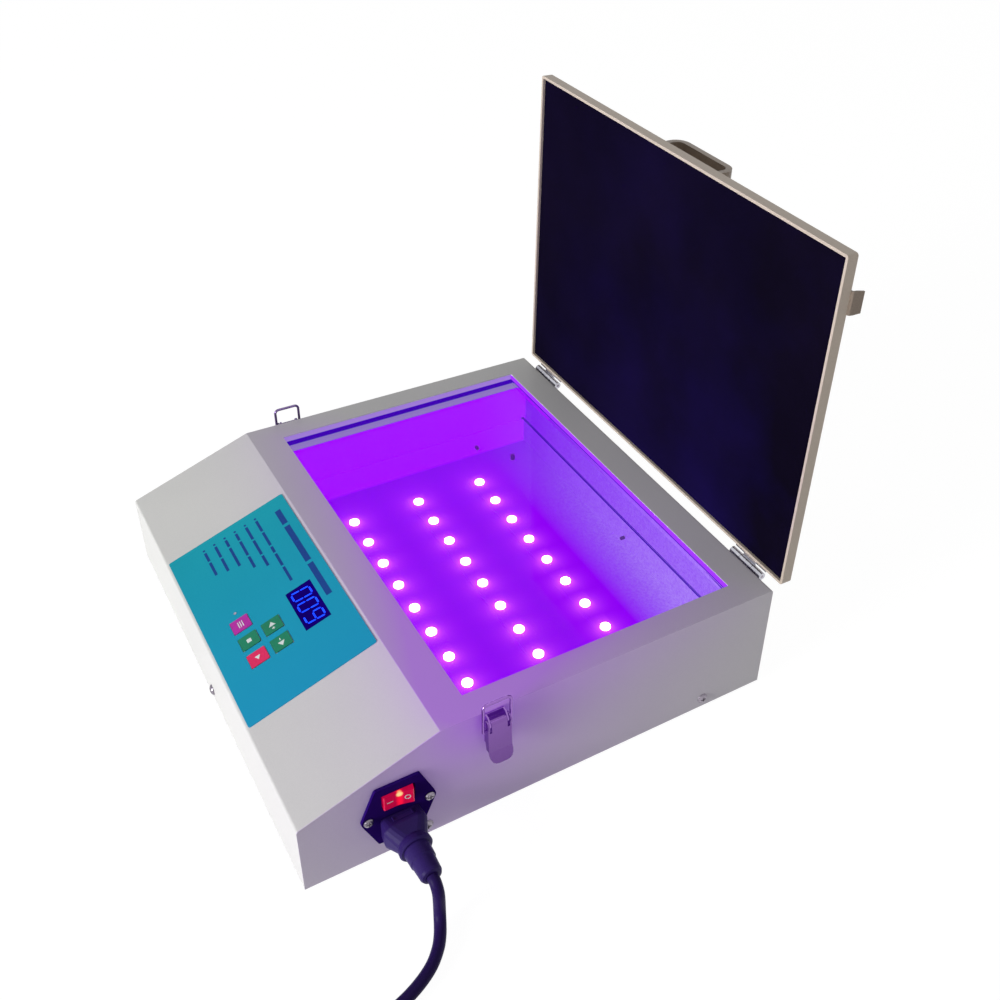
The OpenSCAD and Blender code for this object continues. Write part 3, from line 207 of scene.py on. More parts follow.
def tube_mesh(path, radius, sides):
    bm = bmesh.new()
    rings = []
    side = Vector((0, 1, 0))
    for i, point in enumerate(path):
        ahead = (path[min(i + 1, len(path) - 1)] - path[max(i - 1, 0)]).normalized()
        side = (side - ahead * side.dot(ahead)).normalized()
        up = ahead.cross(side)
        rings.append([bm.verts.new(point + radius * (math.cos(a) * side + math.sin(a) * up))
                      for a in (2 * math.pi * k / sides for k in range(sides))])
    for near, far in zip(rings, rings[1:]):
        for k in range(sides):
            bm.faces.new((near[k], near[(k + 1) % sides], far[(k + 1) % sides], far[k]))
    bm.faces.new(rings[0])
    bm.faces.new(rings[-1])
    return bm


# The lead's violet tint is painted violet light from the chamber on dark rubber.
lead_rubber_violet_lit = finish_of("lead rubber painted violet", "1A0A40", "24124E",
                        rough=(0.38, 0.5), scale=900, bump=0.00002, shine=0.08)
mains_lead = piece_from(tube_mesh(lead_path, lead_d / 2, 18), "mains_lead", lead_rubber_violet_lit, "body")
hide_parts("cord_front", "cord_coil", "cord_tail")


# Case: folded steel sheet with a fine powder coat, light grey outside. The
# light of the LEDs colours the inside and spills over the window's edges.
def dress(material, *names):
    for name in names:
        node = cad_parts[name]
        for slot in node.material_slots:
            slot.material = material
        if not node.material_slots:
            node.data.materials.append(material)


def math_node(group, operation, a, b=None, c=None, clamp=False):
    node = group.nodes.new("ShaderNodeMath")
    node.operation = operation
    node.use_clamp = clamp
    for socket, value in zip(node.inputs, (a, b, c)):
        if value is None:
            continue
        if isinstance(value, (int, float)):
            socket.default_value = value
        else:
            group.links.new(value, socket)
    return node.outputs[0]


def mix_colours(group, factor, a, b):
    node = group.nodes.new("ShaderNodeMix")
    node.data_type = "RGBA"
    for socket, value in zip((node.inputs[0], node.inputs[6], node.inputs[7]), (factor, a, b)):
        if isinstance(value, (int, float, tuple)):
            socket.default_value = value
        else:
            group.links.new(value, socket)
    return node.outputs[2]


led_first_x, led_pitch, led_first_y, strip_pitch, led_z = -0.12925, 0.0295, -0.035107, 0.0585, 0.0075


def build_glow_group():
    """Violet light in the chamber, by distance to the LEDs and by wall."""
    group = bpy.data.node_groups.new("chamber glow", "ShaderNodeTree")
    new_socket(group, "Glow", "NodeSocketColor", False)
    new_socket(group, "Inside", "NodeSocketFloat", False)
    new_socket(group, "Spill", "NodeSocketFloat", False)
    leave = group.nodes.new("NodeGroupOutput")
    place = group.nodes.new("ShaderNodeTexCoord")
    split = group.nodes.new("ShaderNodeSeparateXYZ")
    group.links.new(place.outputs["Object"], split.inputs[0])
    x, y, z = split.outputs

    def nearest(value, first, pitch, last):
        steps = math_node(group, "DIVIDE", math_node(group, "SUBTRACT", value, first), pitch)
        whole = math_node(group, "ROUND", steps)
        held = math_node(group, "MINIMUM", math_node(group, "MAXIMUM", whole, 0.0), float(last))
        return math_node(group, "MULTIPLY", math_node(group, "SUBTRACT", steps, held), pitch)

    def square(value):
        return math_node(group, "MULTIPLY", value, value)

    far_x = nearest(x, led_first_x, led_pitch, 7)
    far_y = nearest(y, led_first_y, strip_pitch, 2)
    far_z = math_node(group, "SUBTRACT", z, led_z)
    away = math_node(group, "SQRT", math_node(
        group, "ADD", math_node(group, "ADD", square(far_x), square(far_y)), square(far_z)))
    halo = math_node(group, "POWER", 2.718, math_node(group, "MULTIPLY", away, -230.0))
    wide = math_node(group, "POWER", 2.718, math_node(group, "MULTIPLY", away, -24.0))
    speck = group.nodes.new("ShaderNodeTexNoise")
    speck.inputs["Scale"].default_value = 520
    speck.inputs["Detail"].default_value = 2
    group.links.new(place.outputs["Object"], speck.inputs["Vector"])
    # The rear end catches a paler light, least on the left
    rear = math_node(group, "GREATER_THAN", y, 0.1480)
    behind = math_node(group, "MULTIPLY_ADD", y, 24.0, -2.55, clamp=True)
    across = math_node(group, "MULTIPLY_ADD", x, 3.2, 0.62, clamp=True)
    grainy = math_node(group, "MULTIPLY_ADD", speck.outputs["Fac"], 2.6, -0.75, clamp=True)
    pale = math_node(group, "MULTIPLY", math_node(group, "MULTIPLY", behind, across),
                     math_node(group, "MULTIPLY_ADD", grainy, 0.4, 0.6))
    low = math_node(group, "LESS_THAN", z, 0.0275)
    pale = math_node(group, "MULTIPLY", pale, math_node(group, "MULTIPLY_ADD", low, 0.25, 0.75))
    # Left wall is the most saturated
    left = math_node(group, "LESS_THAN", x, -0.1700)
    floor = mix_colours(group, wide, hue("7600DE"), hue("A000F8"))
    walls = mix_colours(group, left, floor, hue("A401FD"))
    walls = mix_colours(group, pale, walls, hue("B08AF0"))
    # Seam where the base tray ends on the walls
    seam_gap = math_node(group, "ABSOLUTE", math_node(group, "SUBTRACT", z, 0.0279))
    seam = math_node(group, "MULTIPLY", math_node(group, "LESS_THAN", seam_gap, 0.0005), rear)
    walls = mix_colours(group, seam, walls, hue("3A10A0"))
    lit = mix_colours(group, math_node(group, "MULTIPLY", halo, 2.2, clamp=True), walls, hue("FF5CFF"))
    # The glass rails take a painted lit grey where they show and painted shade where they run under the top face
    side_x = math_node(group, "ABSOLUTE", x)
    on_rail = math_node(group, "MULTIPLY", math_node(group, "GREATER_THAN", side_x, 0.1482),
                        math_node(group, "COMPARE", z, 0.0818, 0.0008))
    shaded = math_node(group, "GREATER_THAN", side_x, 0.1558)
    rail = mix_colours(group, shaded, hue("8C76B8"), hue("3A04A4"))
    lit = mix_colours(group, on_rail, lit, rail)
    # The window's folded edge is painted a paler violet light, differing between the rear and the sides, above a
    # painted dark line of shade
    on_fold = math_node(group, "GREATER_THAN", z, 0.0855)
    fold = mix_colours(group, math_node(group, "GREATER_THAN", y, 0.1268), hue("9C7CCC"), hue("A23CF8"))
    fold = mix_colours(group, math_node(group, "LESS_THAN", z, 0.0869), fold, hue("3A08A8"))
    lit = mix_colours(group, on_fold, lit, fold)
    group.links.new(lit, leave.inputs["Glow"])
    # Inside the box of the chamber
    in_x = math_node(group, "LESS_THAN", math_node(group, "ABSOLUTE", x), 0.1744)
    in_y = math_node(group, "MULTIPLY", math_node(group, "GREATER_THAN", y, -0.0935),
                     math_node(group, "LESS_THAN", y, 0.15135))
    in_z = math_node(group, "MULTIPLY", math_node(group, "LESS_THAN", z, 0.0914),
                     math_node(group, "GREATER_THAN", z, 0.0046))
    inside = math_node(group, "MULTIPLY", math_node(group, "MULTIPLY", in_x, in_y), in_z)
    group.links.new(inside, leave.inputs["Inside"])
    # Spill over the top face, strongest by the near corner of the window
    corner_x = math_node(group, "SUBTRACT", x, 0.150)
    corner_y = math_node(group, "SUBTRACT", y, -0.074)
    corner_z = math_node(group, "SUBTRACT", z, 0.092)
    near = math_node(group, "SQRT", math_node(
        group, "ADD", math_node(group, "ADD", square(corner_x), square(corner_y)), square(corner_z)))
    spill = math_node(group, "MULTIPLY", math_node(
        group, "POWER", 2.718, math_node(group, "MULTIPLY", near, -11.0)), 0.9)
    # Little of it reaches the sloping face, which turns away from the window
    slope = math_node(group, "MULTIPLY", math_node(group, "LESS_THAN", y, -0.1014),
                      math_node(group, "LESS_THAN", x, 0.1744))
    spill = math_node(group, "MULTIPLY", spill, math_node(group, "MULTIPLY_ADD", slope, -0.8, 1.0))
    edge_x = math_node(group, "MAXIMUM", math_node(
        group, "SUBTRACT", math_node(group, "ABSOLUTE", x), 0.156), 0.0)
    edge_y = math_node(group, "MAXIMUM", math_node(group, "SUBTRACT", math_node(
        group, "ABSOLUTE", math_node(group, "SUBTRACT", y, 0.0249)), 0.1025), 0.0)
    rim = math_node(group, "SQRT", math_node(
        group, "ADD", math_node(group, "ADD", square(edge_x), square(edge_y)), square(corner_z)))
    facing = math_node(group, "MULTIPLY_ADD", x, 2.0, math_node(
        group, "MULTIPLY_ADD", y, -4.0, 0.27), clamp=True)
    haze = math_node(group, "MULTIPLY", math_node(
        group, "POWER", 2.718, math_node(group, "MULTIPLY", rim, -50.0)), facing)
    group.links.new(math_node(group, "ADD", spill, haze, clamp=True), leave.inputs["Spill"])
    return group


glow_group = build_glow_group()


def light_chamber(material, spill=0.0):
    """Adds the chamber's light to a finish, and its spill outside."""
    tree = material.node_tree
    shader = tree.nodes["Principled BSDF"]
    glow = tree.nodes.new("ShaderNodeGroup")
    glow.node_tree = glow_group
    plain = shader.inputs["Base Color"].links[0].from_socket
    tinted = mix_colours(tree, math_node(tree, "MULTIPLY", glow.outputs["Spill"], spill), plain, hue("B07CCE"))
    base = mix_colours(tree, glow.outputs["Inside"], tinted, hue("2A0060"))
    tree.links.new(base, shader.inputs["Base Color"])
    # The glow outshines the mirror of the room on the walls
    shine = shader.inputs["Specular IOR Level"].default_value
    tree.links.new(math_node(tree, "MULTIPLY_ADD", glow.outputs["Inside"], -shine, shine),
                   shader.inputs["Specular IOR Level"])
    outer = mix_colours(tree, math_node(tree, "MULTIPLY", glow.outputs["Spill"], spill * 0.22),
                        (0.0, 0.0, 0.0, 1.0), hue("A040FF"))
    tree.links.new(mix_colours(tree, glow.outputs["Inside"], outer, glow.outputs["Glow"]),
                   shader.inputs["Emission Color"])
    shader.inputs["Emission Strength"].default_value = 1.0


case_coat = finish_of("case powder coat", "C0C0BE", "C8C8C5",
                      rough=(0.38, 0.5), scale=1100, cloud=6, bump=0.00004)
light_chamber(case_coat, spill=0.9)
dress(case_coat, "case_shell", "divider_plate", "glass_rail_left", "glass_rail_right")


# Base tray: galvanised sheet with its edges turned up inside the case, lit
# violet from above. Rubber feet with a screw in each stand under it.
tray_zinc = finish_of("tray zinc", "A4A8AC", "C2C6CA", rough=(0.35, 0.6), metal=0.8, scale=60, cloud=30)
light_chamber(tray_zinc)
dress(tray_zinc, "base_plate")
foot_rubber = finish_of("foot rubber", "111113", "1E1E21", rough=(0.6, 0.8), scale=500, bump=0.00005)
dress(foot_rubber, "rubber_feet")
screw_zinc = finish_of("screw zinc", "6E6874", "A8A0AC", rough=(0.22, 0.4), metal=1.0, scale=900, cloud=90)
dress(screw_zinc, "foot_screws", "cover_screws", "inlet_screws", "handle_screws", "hinge_screws",
      "lid_rivets", "board_standoffs", "hinge_pins")


# Cup washers under the cover screws: six pressed zinc rings, one at each
# screw that holds the case to the tray.
def washer_tree():
    tree = bpy.data.node_groups.new("cup washers", "GeometryNodeTree")
    tree.interface.new_socket("Geometry", in_out="INPUT", socket_type="NodeSocketGeometry")
    for name, value in (("Ring Radius", 0.0041), ("Wire Radius", 0.0005)):
        tree.interface.new_socket(name, in_out="INPUT", socket_type="NodeSocketFloat").default_value = value
    tree.interface.new_socket("Metal", in_out="INPUT", socket_type="NodeSocketMaterial")
    tree.interface.new_socket("Geometry", in_out="OUTPUT", socket_type="NodeSocketGeometry")
    nodes, links = tree.nodes, tree.links
    entry, leave = nodes.new("NodeGroupInput"), nodes.new("NodeGroupOutput")
    ring = nodes.new("GeometryNodeCurvePrimitiveCircle")
    ring.inputs["Resolution"].default_value = 40
    wire = nodes.new("GeometryNodeCurvePrimitiveCircle")
    wire.inputs["Resolution"].default_value = 10
    sweep = nodes.new("GeometryNodeCurveToMesh")
    facing = nodes.new("GeometryNodeInputNormal")
    aim = nodes.new("FunctionNodeAlignRotationToVector")
    aim.axis = "Z"
    copies = nodes.new("GeometryNodeInstanceOnPoints")
    solid = nodes.new("GeometryNodeRealizeInstances")
    metal = nodes.new("GeometryNodeSetMaterial")
    links.new(entry.outputs["Ring Radius"], ring.inputs["Radius"])
    links.new(entry.outputs["Wire Radius"], wire.inputs["Radius"])
    links.new(ring.outputs["Curve"], sweep.inputs["Curve"])
    links.new(wire.outputs["Curve"], sweep.inputs["Profile Curve"])
    links.new(facing.outputs["Normal"], aim.inputs["Vector"])
    links.new(entry.outputs["Geometry"], copies.inputs["Points"])
    links.new(sweep.outputs["Mesh"], copies.inputs["Instance"])
    links.new(aim.outputs["Rotation"], copies.inputs["Rotation"])
    links.new(copies.outputs["Instances"], solid.inputs["Geometry"])
    links.new(solid.outputs["Geometry"], metal.inputs["Geometry"])
    links.new(entry.outputs["Metal"], metal.inputs["Material"])
    links.new(metal.outputs["Geometry"], leave.inputs["Geometry"])
    return tree


def repeat_on(name, seeds, tree, values, body):
    """Runs a tree on seed faces and keeps the result as a plain mesh."""
    bm = bmesh.new()
    for point, out in seeds:
        out = Vector(out)
        side = out.orthogonal().normalized() * 0.0001
        other = out.cross(side)
        corners = [bm.verts.new(Vector(point) + s * side + t * other) for s, t in ((-1, -1), (1, -1), (1, 1), (-1, 1))]
        bm.faces.new(corners)
    seed_mesh = bpy.data.meshes.new(name + "_seeds")
    bm.to_mesh(seed_mesh)
    bm.free()
    holder = bpy.data.objects.new(name + "_seeds", seed_mesh)
    bpy.context.scene.collection.objects.link(holder)
    modifier = holder.modifiers.new("repeat", "NODES")
    modifier.node_group = tree
    for item in tree.interface.items_tree:
        if item.in_out == "INPUT" and item.name in values:
            modifier[item.identifier] = values[item.name]
    depsgraph = bpy.context.evaluated_depsgraph_get()
    mesh = bpy.data.meshes.new_from_object(holder.evaluated_get(depsgraph))
    bpy.data.objects.remove(holder)
    mesh.name = name
    mesh.shade_smooth()
    piece = bpy.data.objects.new(name, mesh)
    bpy.context.scene.collection.objects.link(piece)
    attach(piece, body)
    return piece


cover_points = [((side * 0.1752, y - middle_y, 0.012), (side, 0, 0)) for side in (-1, 1) for y in (0.0805, 0.294)]
cover_points += [((0, -0.0002 - middle_y, 0.012), (0, -1, 0)), ((0, 0.3452 - middle_y, 0.012), (0, 1, 0))]


def face_points_tree():
    """Washers stand on face centres, so the seeds become points first."""
    tree = washer_tree()
    points = tree.nodes.new("GeometryNodeMeshToPoints")
    points.mode = "FACES"
    entry = next(n for n in tree.nodes if n.bl_idname == "NodeGroupInput")
    copies = next(n for n in tree.nodes if n.bl_idname == "GeometryNodeInstanceOnPoints")
    aim = next(n for n in tree.nodes if n.bl_idname == "FunctionNodeAlignRotationToVector")
    facing = next(n for n in tree.nodes if n.bl_idname == "GeometryNodeInputNormal")
    keep = tree.nodes.new("GeometryNodeCaptureAttribute")
    keep.domain = "FACE"
    keep.capture_items.new("VECTOR", "facing")
    tree.links.new(entry.outputs["Geometry"], keep.inputs["Geometry"])
    tree.links.new(facing.outputs["Normal"], keep.inputs["facing"])
    tree.links.new(keep.outputs["Geometry"], points.inputs["Mesh"])
    tree.links.new(keep.outputs["facing"], aim.inputs["Vector"])
    tree.links.new(points.outputs["Points"], copies.inputs["Points"])
    return tree


washers = face_points_tree()
repeat_on("cover_washers", cover_points, washers, {"Ring Radius": 0.0037, "Wire Radius": 0.0004, "Metal": screw_zinc},
          "body")


# Glass bed: clear glass let into the window. Its index is set below real
# glass's, so that the pale room isn't mirrored over the violet floor.
bed_glass = bpy.data.materials.new("bed glass")
bed_glass.use_nodes = True
glass_nodes, glass_links = bed_glass.node_tree.nodes, bed_glass.node_tree.links
glass_shader = glass_nodes["Principled BSDF"]
glass_shader.inputs["Transmission Weight"].default_value = 1.0
glass_shader.inputs["IOR"].default_value = 1.08
glass_smear = glass_nodes.new("ShaderNodeGroup")
glass_smear.node_tree = grain
glass_smear.inputs["Cloud Scale"].default_value = 5
glass_rough = glass_nodes.new("ShaderNodeMapRange")
glass_rough.inputs["From Min"].default_value = 0.45
glass_rough.inputs["From Max"].default_value = 0.8
glass_rough.inputs["To Max"].default_value = 0.04
glass_tone = glass_nodes.new("ShaderNodeValToRGB")
glass_tone.color_ramp.elements[0].color = hue("F4FAFA")
glass_tone.color_ramp.elements[1].color = hue("FFFFFF")
glass_links.new(glass_smear.outputs["Mask"], glass_rough.inputs["Value"])
glass_links.new(glass_smear.outputs["Mask"], glass_tone.inputs["Fac"])
glass_links.new(glass_rough.outputs["Result"], glass_shader.inputs["Roughness"])
glass_links.new(glass_tone.outputs["Color"], glass_shader.inputs["Base Color"])
dress(bed_glass, "glass_plate")


# LED strips: three aluminium strips on the tray, with eight lit LEDs each and
# a pair of solder pads beside every LED.
strip_metal = finish_of("strip metal", "D4D4DA", "EDEDF2", rough=(0.3, 0.45), metal=0.3, scale=300)
light_chamber(strip_metal)
dress(strip_metal, "led_strip_front", "led_strip_middle", "led_strip_rear")
lens_light = finish_of("lens light", "F6C8FF", "FFFFFF", rough=(0.1, 0.2), scale=200)
lens_shader = lens_light.node_tree.nodes["Principled BSDF"]
lens_light.node_tree.links.new(lens_light.node_tree.nodes["tint"].outputs["Color"],
                               lens_shader.inputs["Emission Color"])
lens_shader.inputs["Emission Strength"].default_value = 6.0
dress(lens_light, "led_beads")


def pad_tree():
    """A low round-cornered solder pad on each seed face."""
    tree = bpy.data.node_groups.new("solder pads", "GeometryNodeTree")
    tree.interface.new_socket("Geometry", in_out="INPUT", socket_type="NodeSocketGeometry")
    tree.interface.new_socket("Pad Radius", in_out="INPUT", socket_type="NodeSocketFloat").default_value = 0.001
    tree.interface.new_socket("Metal", in_out="INPUT", socket_type="NodeSocketMaterial")
    tree.interface.new_socket("Geometry", in_out="OUTPUT", socket_type="NodeSocketGeometry")
    nodes, links = tree.nodes, tree.links
    entry, leave = nodes.new("NodeGroupInput"), nodes.new("NodeGroupOutput")
    points = nodes.new("GeometryNodeMeshToPoints")
    points.mode = "FACES"
    drop = nodes.new("GeometryNodeMeshUVSphere")
    drop.inputs["Segments"].default_value = 12
    drop.inputs["Rings"].default_value = 6
    flat = nodes.new("GeometryNodeTransform")
    flat.inputs["Scale"].default_value = (1.5, 1.0, 0.35)
    copies = nodes.new("GeometryNodeInstanceOnPoints")
    solid = nodes.new("GeometryNodeRealizeInstances")
    metal = nodes.new("GeometryNodeSetMaterial")
    links.new(entry.outputs["Geometry"], points.inputs["Mesh"])
    links.new(entry.outputs["Pad Radius"], drop.inputs["Radius"])
    links.new(drop.outputs["Mesh"], flat.inputs["Geometry"])
    links.new(points.outputs["Points"], copies.inputs["Points"])
    links.new(flat.outputs["Geometry"], copies.inputs["Instance"])
    links.new(copies.outputs["Instances"], solid.inputs["Geometry"])
    links.new(solid.outputs["Geometry"], metal.inputs["Geometry"])
    links.new(entry.outputs["Metal"], metal.inputs["Material"])
    links.new(metal.outputs["Geometry"], leave.inputs["Geometry"])
    return tree


solder = finish_of("solder", "A8AAB0", "D8DAE0", rough=(0.2, 0.35), metal=1.0, scale=800)
light_chamber(solder)
pad_points = [((led_first_x + i * led_pitch + side * 0.0075, led_first_y + row * strip_pitch, 0.0068), (0, 0, 1))
              for row in range(3) for i in range(8) for side in (-1, 1)]
repeat_on("solder_pads", pad_points, pad_tree(), {"Pad Radius": 0.0012, "Metal": solder}, "body")


# Power supply, terminals and control board behind the divider: closed in by
# the case, in the finishes that such parts have.
supply_cage = finish_of("supply cage", "9A9D9F", "BFC2C4", rough=(0.35, 0.5), metal=0.9, scale=80, cloud=25)
dress(supply_cage, "power_supply")
black_moulding = finish_of("black moulding", "16131F", "221E2E",
                           rough=(0.35, 0.5), scale=1500, bump=0.00003, shine=0.3)
dress(black_moulding, "terminal_block", "display_module", "key_switches")
board_mask = finish_of("board mask", "0B4A26", "12683A", rough=(0.25, 0.4), scale=250)
dress(board_mask, "control_board")


# Control panel: a printed film in teal on the sloping face, with a dark
# window over the display and plain dark marks printed beside it.
panel_film = finish_of("panel film", "0A94A6", "149CAC",
                       rough=(0.3, 0.4), scale=900, cloud=9, bump=0.00001, shine=0.1)
panel_tree = panel_film.node_tree
panel_place = panel_tree.nodes.new("ShaderNodeTexCoord")
panel_split = panel_tree.nodes.new("ShaderNodeSeparateXYZ")
panel_tree.links.new(panel_place.outputs["Object"], panel_split.inputs[0])
panel_across = math_node(panel_tree, "MULTIPLY_ADD", panel_split.outputs["X"], 4.0, 0.4, clamp=True)
panel_tree.links.new(mix_colours(panel_tree, panel_across, panel_tree.nodes["tint"].outputs["Color"], hue("1C8CBE")),
                     panel_tree.nodes["Principled BSDF"].inputs["Base Color"])
dress(panel_film, "panel_overlay")
window_film = finish_of("window film", "080040", "0E0058", rough=(0.2, 0.3), scale=300, shine=0.0)
window_shader = window_film.node_tree.nodes["Principled BSDF"]
window_film.node_tree.links.new(window_film.node_tree.nodes["tint"].outputs["Color"],
                                window_shader.inputs["Emission Color"])
window_shader.inputs["Emission Strength"].default_value = 1.0
dress(window_film, "display_window")
lamp_clear = finish_of("lamp clear", "3A2C5A", "D8D4E8", rough=(0.1, 0.2), scale=900, cloud=300)
dress(lamp_clear, "status_lamp")

slope_angle = math.atan2(34, 92)
slope_place = Matrix.Translation((0, -middle_y, 0.058)) @ Matrix.Rotation(slope_angle, 4, "X")


def raised_print(name, shapes, material, body, place, base, thick=0.00004):
    """Thin flat marks, each an outline in millimetres on a face."""
    bm = bmesh.new()
    for shape in shapes:
        verts = [bm.verts.new((x / 1000, y / 1000, base)) for x, y in shape]
        face = bm.faces.new(verts)
        lifted = bmesh.ops.extrude_face_region(bm, geom=[face])
        bmesh.ops.translate(bm, vec=(0, 0, thick), verts=[v for v in lifted["geom"] if isinstance(v, bmesh.types.BMVert)])
    bm.transform(place)
    return piece_from(bm, name, material, body, smooth=False)


def bar(x, y, w, h):
    return [(x, y - h / 2), (x + w, y - h / 2), (x + w, y + h / 2), (x, y + h / 2)]


def disc(x, y, r, n=16):
    return [(x + r * math.cos(2 * math.pi * k / n), y + r * math.sin(2 * math.pi * k / n)) for k in range(n)]


print_navy = finish_of("print navy", "14387E", "1A448C", rough=(0.4, 0.5), scale=900, shine=0.1)
marks = []
for x, w in ((-74, 17), (-54, 43), (-8, 36)):
    marks.append(bar(x, 86.4, w, 4.4))
for line, widths in enumerate(((13, 16, 7, 14, 16), (15, 17, 12), (8, 17, 13), (8, 22), (13, 15), (10, 15))):
    x = -76.5
    y = 69.8 - 8.4 * line
    marks.append(disc(x - 2.6, y, 1))
    for w in widths:
        marks.append(bar(x, y, w, 2.1))
        x += w + 1.8
raised_print("panel_marks", marks, print_navy, "body", slope_place, 0.00049)


# Display: three seven-bar figures lit blue, behind the window.
def figure(x, y, bars, w=7.8, h=13.2, t=1.25):
    """Outlines of the lit bars of one figure, leaning a little."""
    def lean(points):
        return [(px + (py - y) * 0.12, py) for px, py in points]

    def level(cx, cy):
        half = w / 2 - 0.9
        return [(cx - half, cy), (cx - half + t / 2, cy - t / 2), (cx + half - t / 2, cy - t / 2), (cx + half, cy),
                (cx + half - t / 2, cy + t / 2), (cx - half + t / 2, cy + t / 2)]

    def upright(cx, cy):
        half = h / 4 - 0.25
        return [(cx, cy - half), (cx + t / 2, cy - half + t / 2), (cx + t / 2, cy + half - t / 2), (cx, cy + half),
                (cx - t / 2, cy + half - t / 2), (cx - t / 2, cy - half + t / 2)]
    spots = {"a": level(x, y + h / 2), "g": level(x, y), "d": level(x, y - h / 2),
             "f": upright(x - w / 2, y + h / 4), "b": upright(x + w / 2, y + h / 4),
             "e": upright(x - w / 2, y - h / 4), "c": upright(x + w / 2, y - h / 4)}
    return [lean(spots[b]) for b in bars]


digit_light = finish_of("digit light", "0818E0", "1E50FF", rough=(0.3, 0.4), scale=260, shine=0.0)
digit_shader = digit_light.node_tree.nodes["Principled BSDF"]
digit_light.node_tree.links.new(digit_light.node_tree.nodes["tint"].outputs["Color"],
                                digit_shader.inputs["Emission Color"])
digit_shader.inputs["Emission Strength"].default_value = 1.3
figures = figure(13.6, 70.8, "abcdef") + figure(25.4, 70.8, "abcdef") + figure(37.2, 70.8, "abcdfg")
raised_print("display_figures", figures, digit_light, "body", slope_place, 0.00049)


# Keys: five flat keys, with white printed signs, each on its own plunger.
key_finish = {"magenta": ("9C1C8C", "B22CA0"), "green": ("0C6A4C", "158060"), "red": ("C41850", "DC2A60")}
key_colours = {"key_mode": "magenta", "key_reset": "green", "key_start": "red", "key_up": "green", "key_down": "green"}
key_spots = {"key_mode": (6.1, 26.7), "key_reset": (23.6, 26.7), "key_start": (41.1, 26.7), "key_up": (23.6, 44.2),
             "key_down": (41.1, 44.2)}
print_white = finish_of("print white", "C4CCCE", "D8DEDE", rough=(0.4, 0.5), scale=900)
for key, colour in key_colours.items():
    dark, pale = key_finish[colour]
    dress(finish_of(key + " film", dark, pale, rough=(0.25, 0.35), scale=900, shine=0.2), key)
    x, y = key_spots[key]
    signs = {
        "key_mode": [bar(x - 2.8, y + 1.5, 5.6, 0.6), bar(x - 2.8, y, 5.6, 0.6), bar(x - 2.8, y - 1.5, 5.6, 0.6)],
        "key_reset": [bar(x - 1.6, y, 3.2, 3.2)],
        "key_start": [[(x - 1.4, y - 2), (x + 2, y), (x - 1.4, y + 2)]],
        "key_up": [[(x + 0.4, y - 2.5), (x + 0.4, y + 2.5), (x - 3.4, y)], bar(x + 1.6, y, 2.2, 0.6),
                   bar(x + 2.4, y + 0.75, 0.6, 0.8), bar(x + 2.4, y - 0.75, 0.6, 0.8)],
        "key_down": [[(x - 0.4, y - 2.5), (x + 3.4, y), (x - 0.4, y + 2.5)], bar(x - 3.6, y, 2.0, 0.6)]}[key]
    raised_print(key + "_sign", signs, print_white, "button" + key[3:], slope_place, 0.00089)


# Mains inlet: a moulded black plate on two screws, with a lit red rocker over
# the socket. The rocker's two signs are moulded on.
# The violet tint on the black plate is painted violet light from the chamber.
inlet_moulding_violet_lit = finish_of("inlet moulding painted violet", "22085A", "2C1068",
                           rough=(0.35, 0.5), scale=1400, bump=0.00003, shine=0.0)
dress(inlet_moulding_violet_lit, "inlet_housing")
contact_brass = finish_of("contact brass", "A8843C", "D2B266", rough=(0.2, 0.35), metal=1.0, scale=400)
dress(contact_brass, "inlet_pins", "mains_pins")
rocker_red = finish_of("rocker red", "9A0A34", "B81040", rough=(0.15, 0.25), scale=300, shine=0.3)
rocker_tree = rocker_red.node_tree
rocker_shader = rocker_tree.nodes["Principled BSDF"]
rocker_place = rocker_tree.nodes.new("ShaderNodeTexCoord")
rocker_away = rocker_tree.nodes.new("ShaderNodeVectorMath")
rocker_away.operation = "DISTANCE"
rocker_away.inputs[1].default_value = (0.1788, 0.0622 - middle_y, 0.0576)
rocker_tree.links.new(rocker_place.outputs["Object"], rocker_away.inputs[0])
rocker_near = math_node(rocker_tree, "MULTIPLY_ADD", rocker_away.outputs["Value"], -900.0, 2.2, clamp=True)
rocker_split = rocker_tree.nodes.new("ShaderNodeSeparateXYZ")
rocker_tree.links.new(rocker_place.outputs["Object"], rocker_split.inputs[0])
rocker_middle = math_node(rocker_tree, "ABSOLUTE", math_node(
    rocker_tree, "SUBTRACT", rocker_split.outputs["Y"], 0.0622 - middle_y))
rocker_band = math_node(rocker_tree, "MULTIPLY_ADD", rocker_middle, -500.0, 1.4, clamp=True)
rocker_glow = mix_colours(rocker_tree, rocker_band, hue("A00030"), hue("FF1030"))
rocker_tree.links.new(mix_colours(rocker_tree, rocker_near, rocker_glow, hue("FFF4A0")),
                      rocker_shader.inputs["Emission Color"])
rocker_shader.inputs["Emission Strength"].default_value = 0.75
dress(rocker_red, "rocker_switch")
inlet_place = Matrix.Translation((0.175, 0.0622 - middle_y, 0.0416)) @ Matrix(
    ((0, 0, 1, 0), (1, 0, 0, 0), (0, 1, 0, 0), (0, 0, 0, 1)))
rocker_turn = Matrix.Translation((0, 0.012, -0.0015)) @ Matrix.Rotation(math.radians(-7), 4, "Y")
half_tilt = math.radians(6.8)
rocker_top = inlet_place @ rocker_turn
front_half = rocker_top @ Matrix.Translation((-0.0055, 0, 0.00585)) @ Matrix.Rotation(half_tilt, 4, "Y")
rear_half = rocker_top @ Matrix.Translation((0.0055, 0, 0.00585)) @ Matrix.Rotation(-half_tilt, 4, "Y")
raised_print("rocker_line", [bar(-2, 0, 4, 0.6)], print_white, "rocker", front_half,
             -0.00003, 0.00018)
ring_bars = []
for k in range(20):
    a, b = 2 * math.pi * k / 20, 2 * math.pi * (k + 1) / 20
    ring_bars.append([(1.9 * math.cos(a), 1.9 * math.sin(a)), (1.9 * math.cos(b), 1.9 * math.sin(b)),
                      (1.4 * math.cos(b), 1.4 * math.sin(b)), (1.4 * math.cos(a), 1.4 * math.sin(a))])
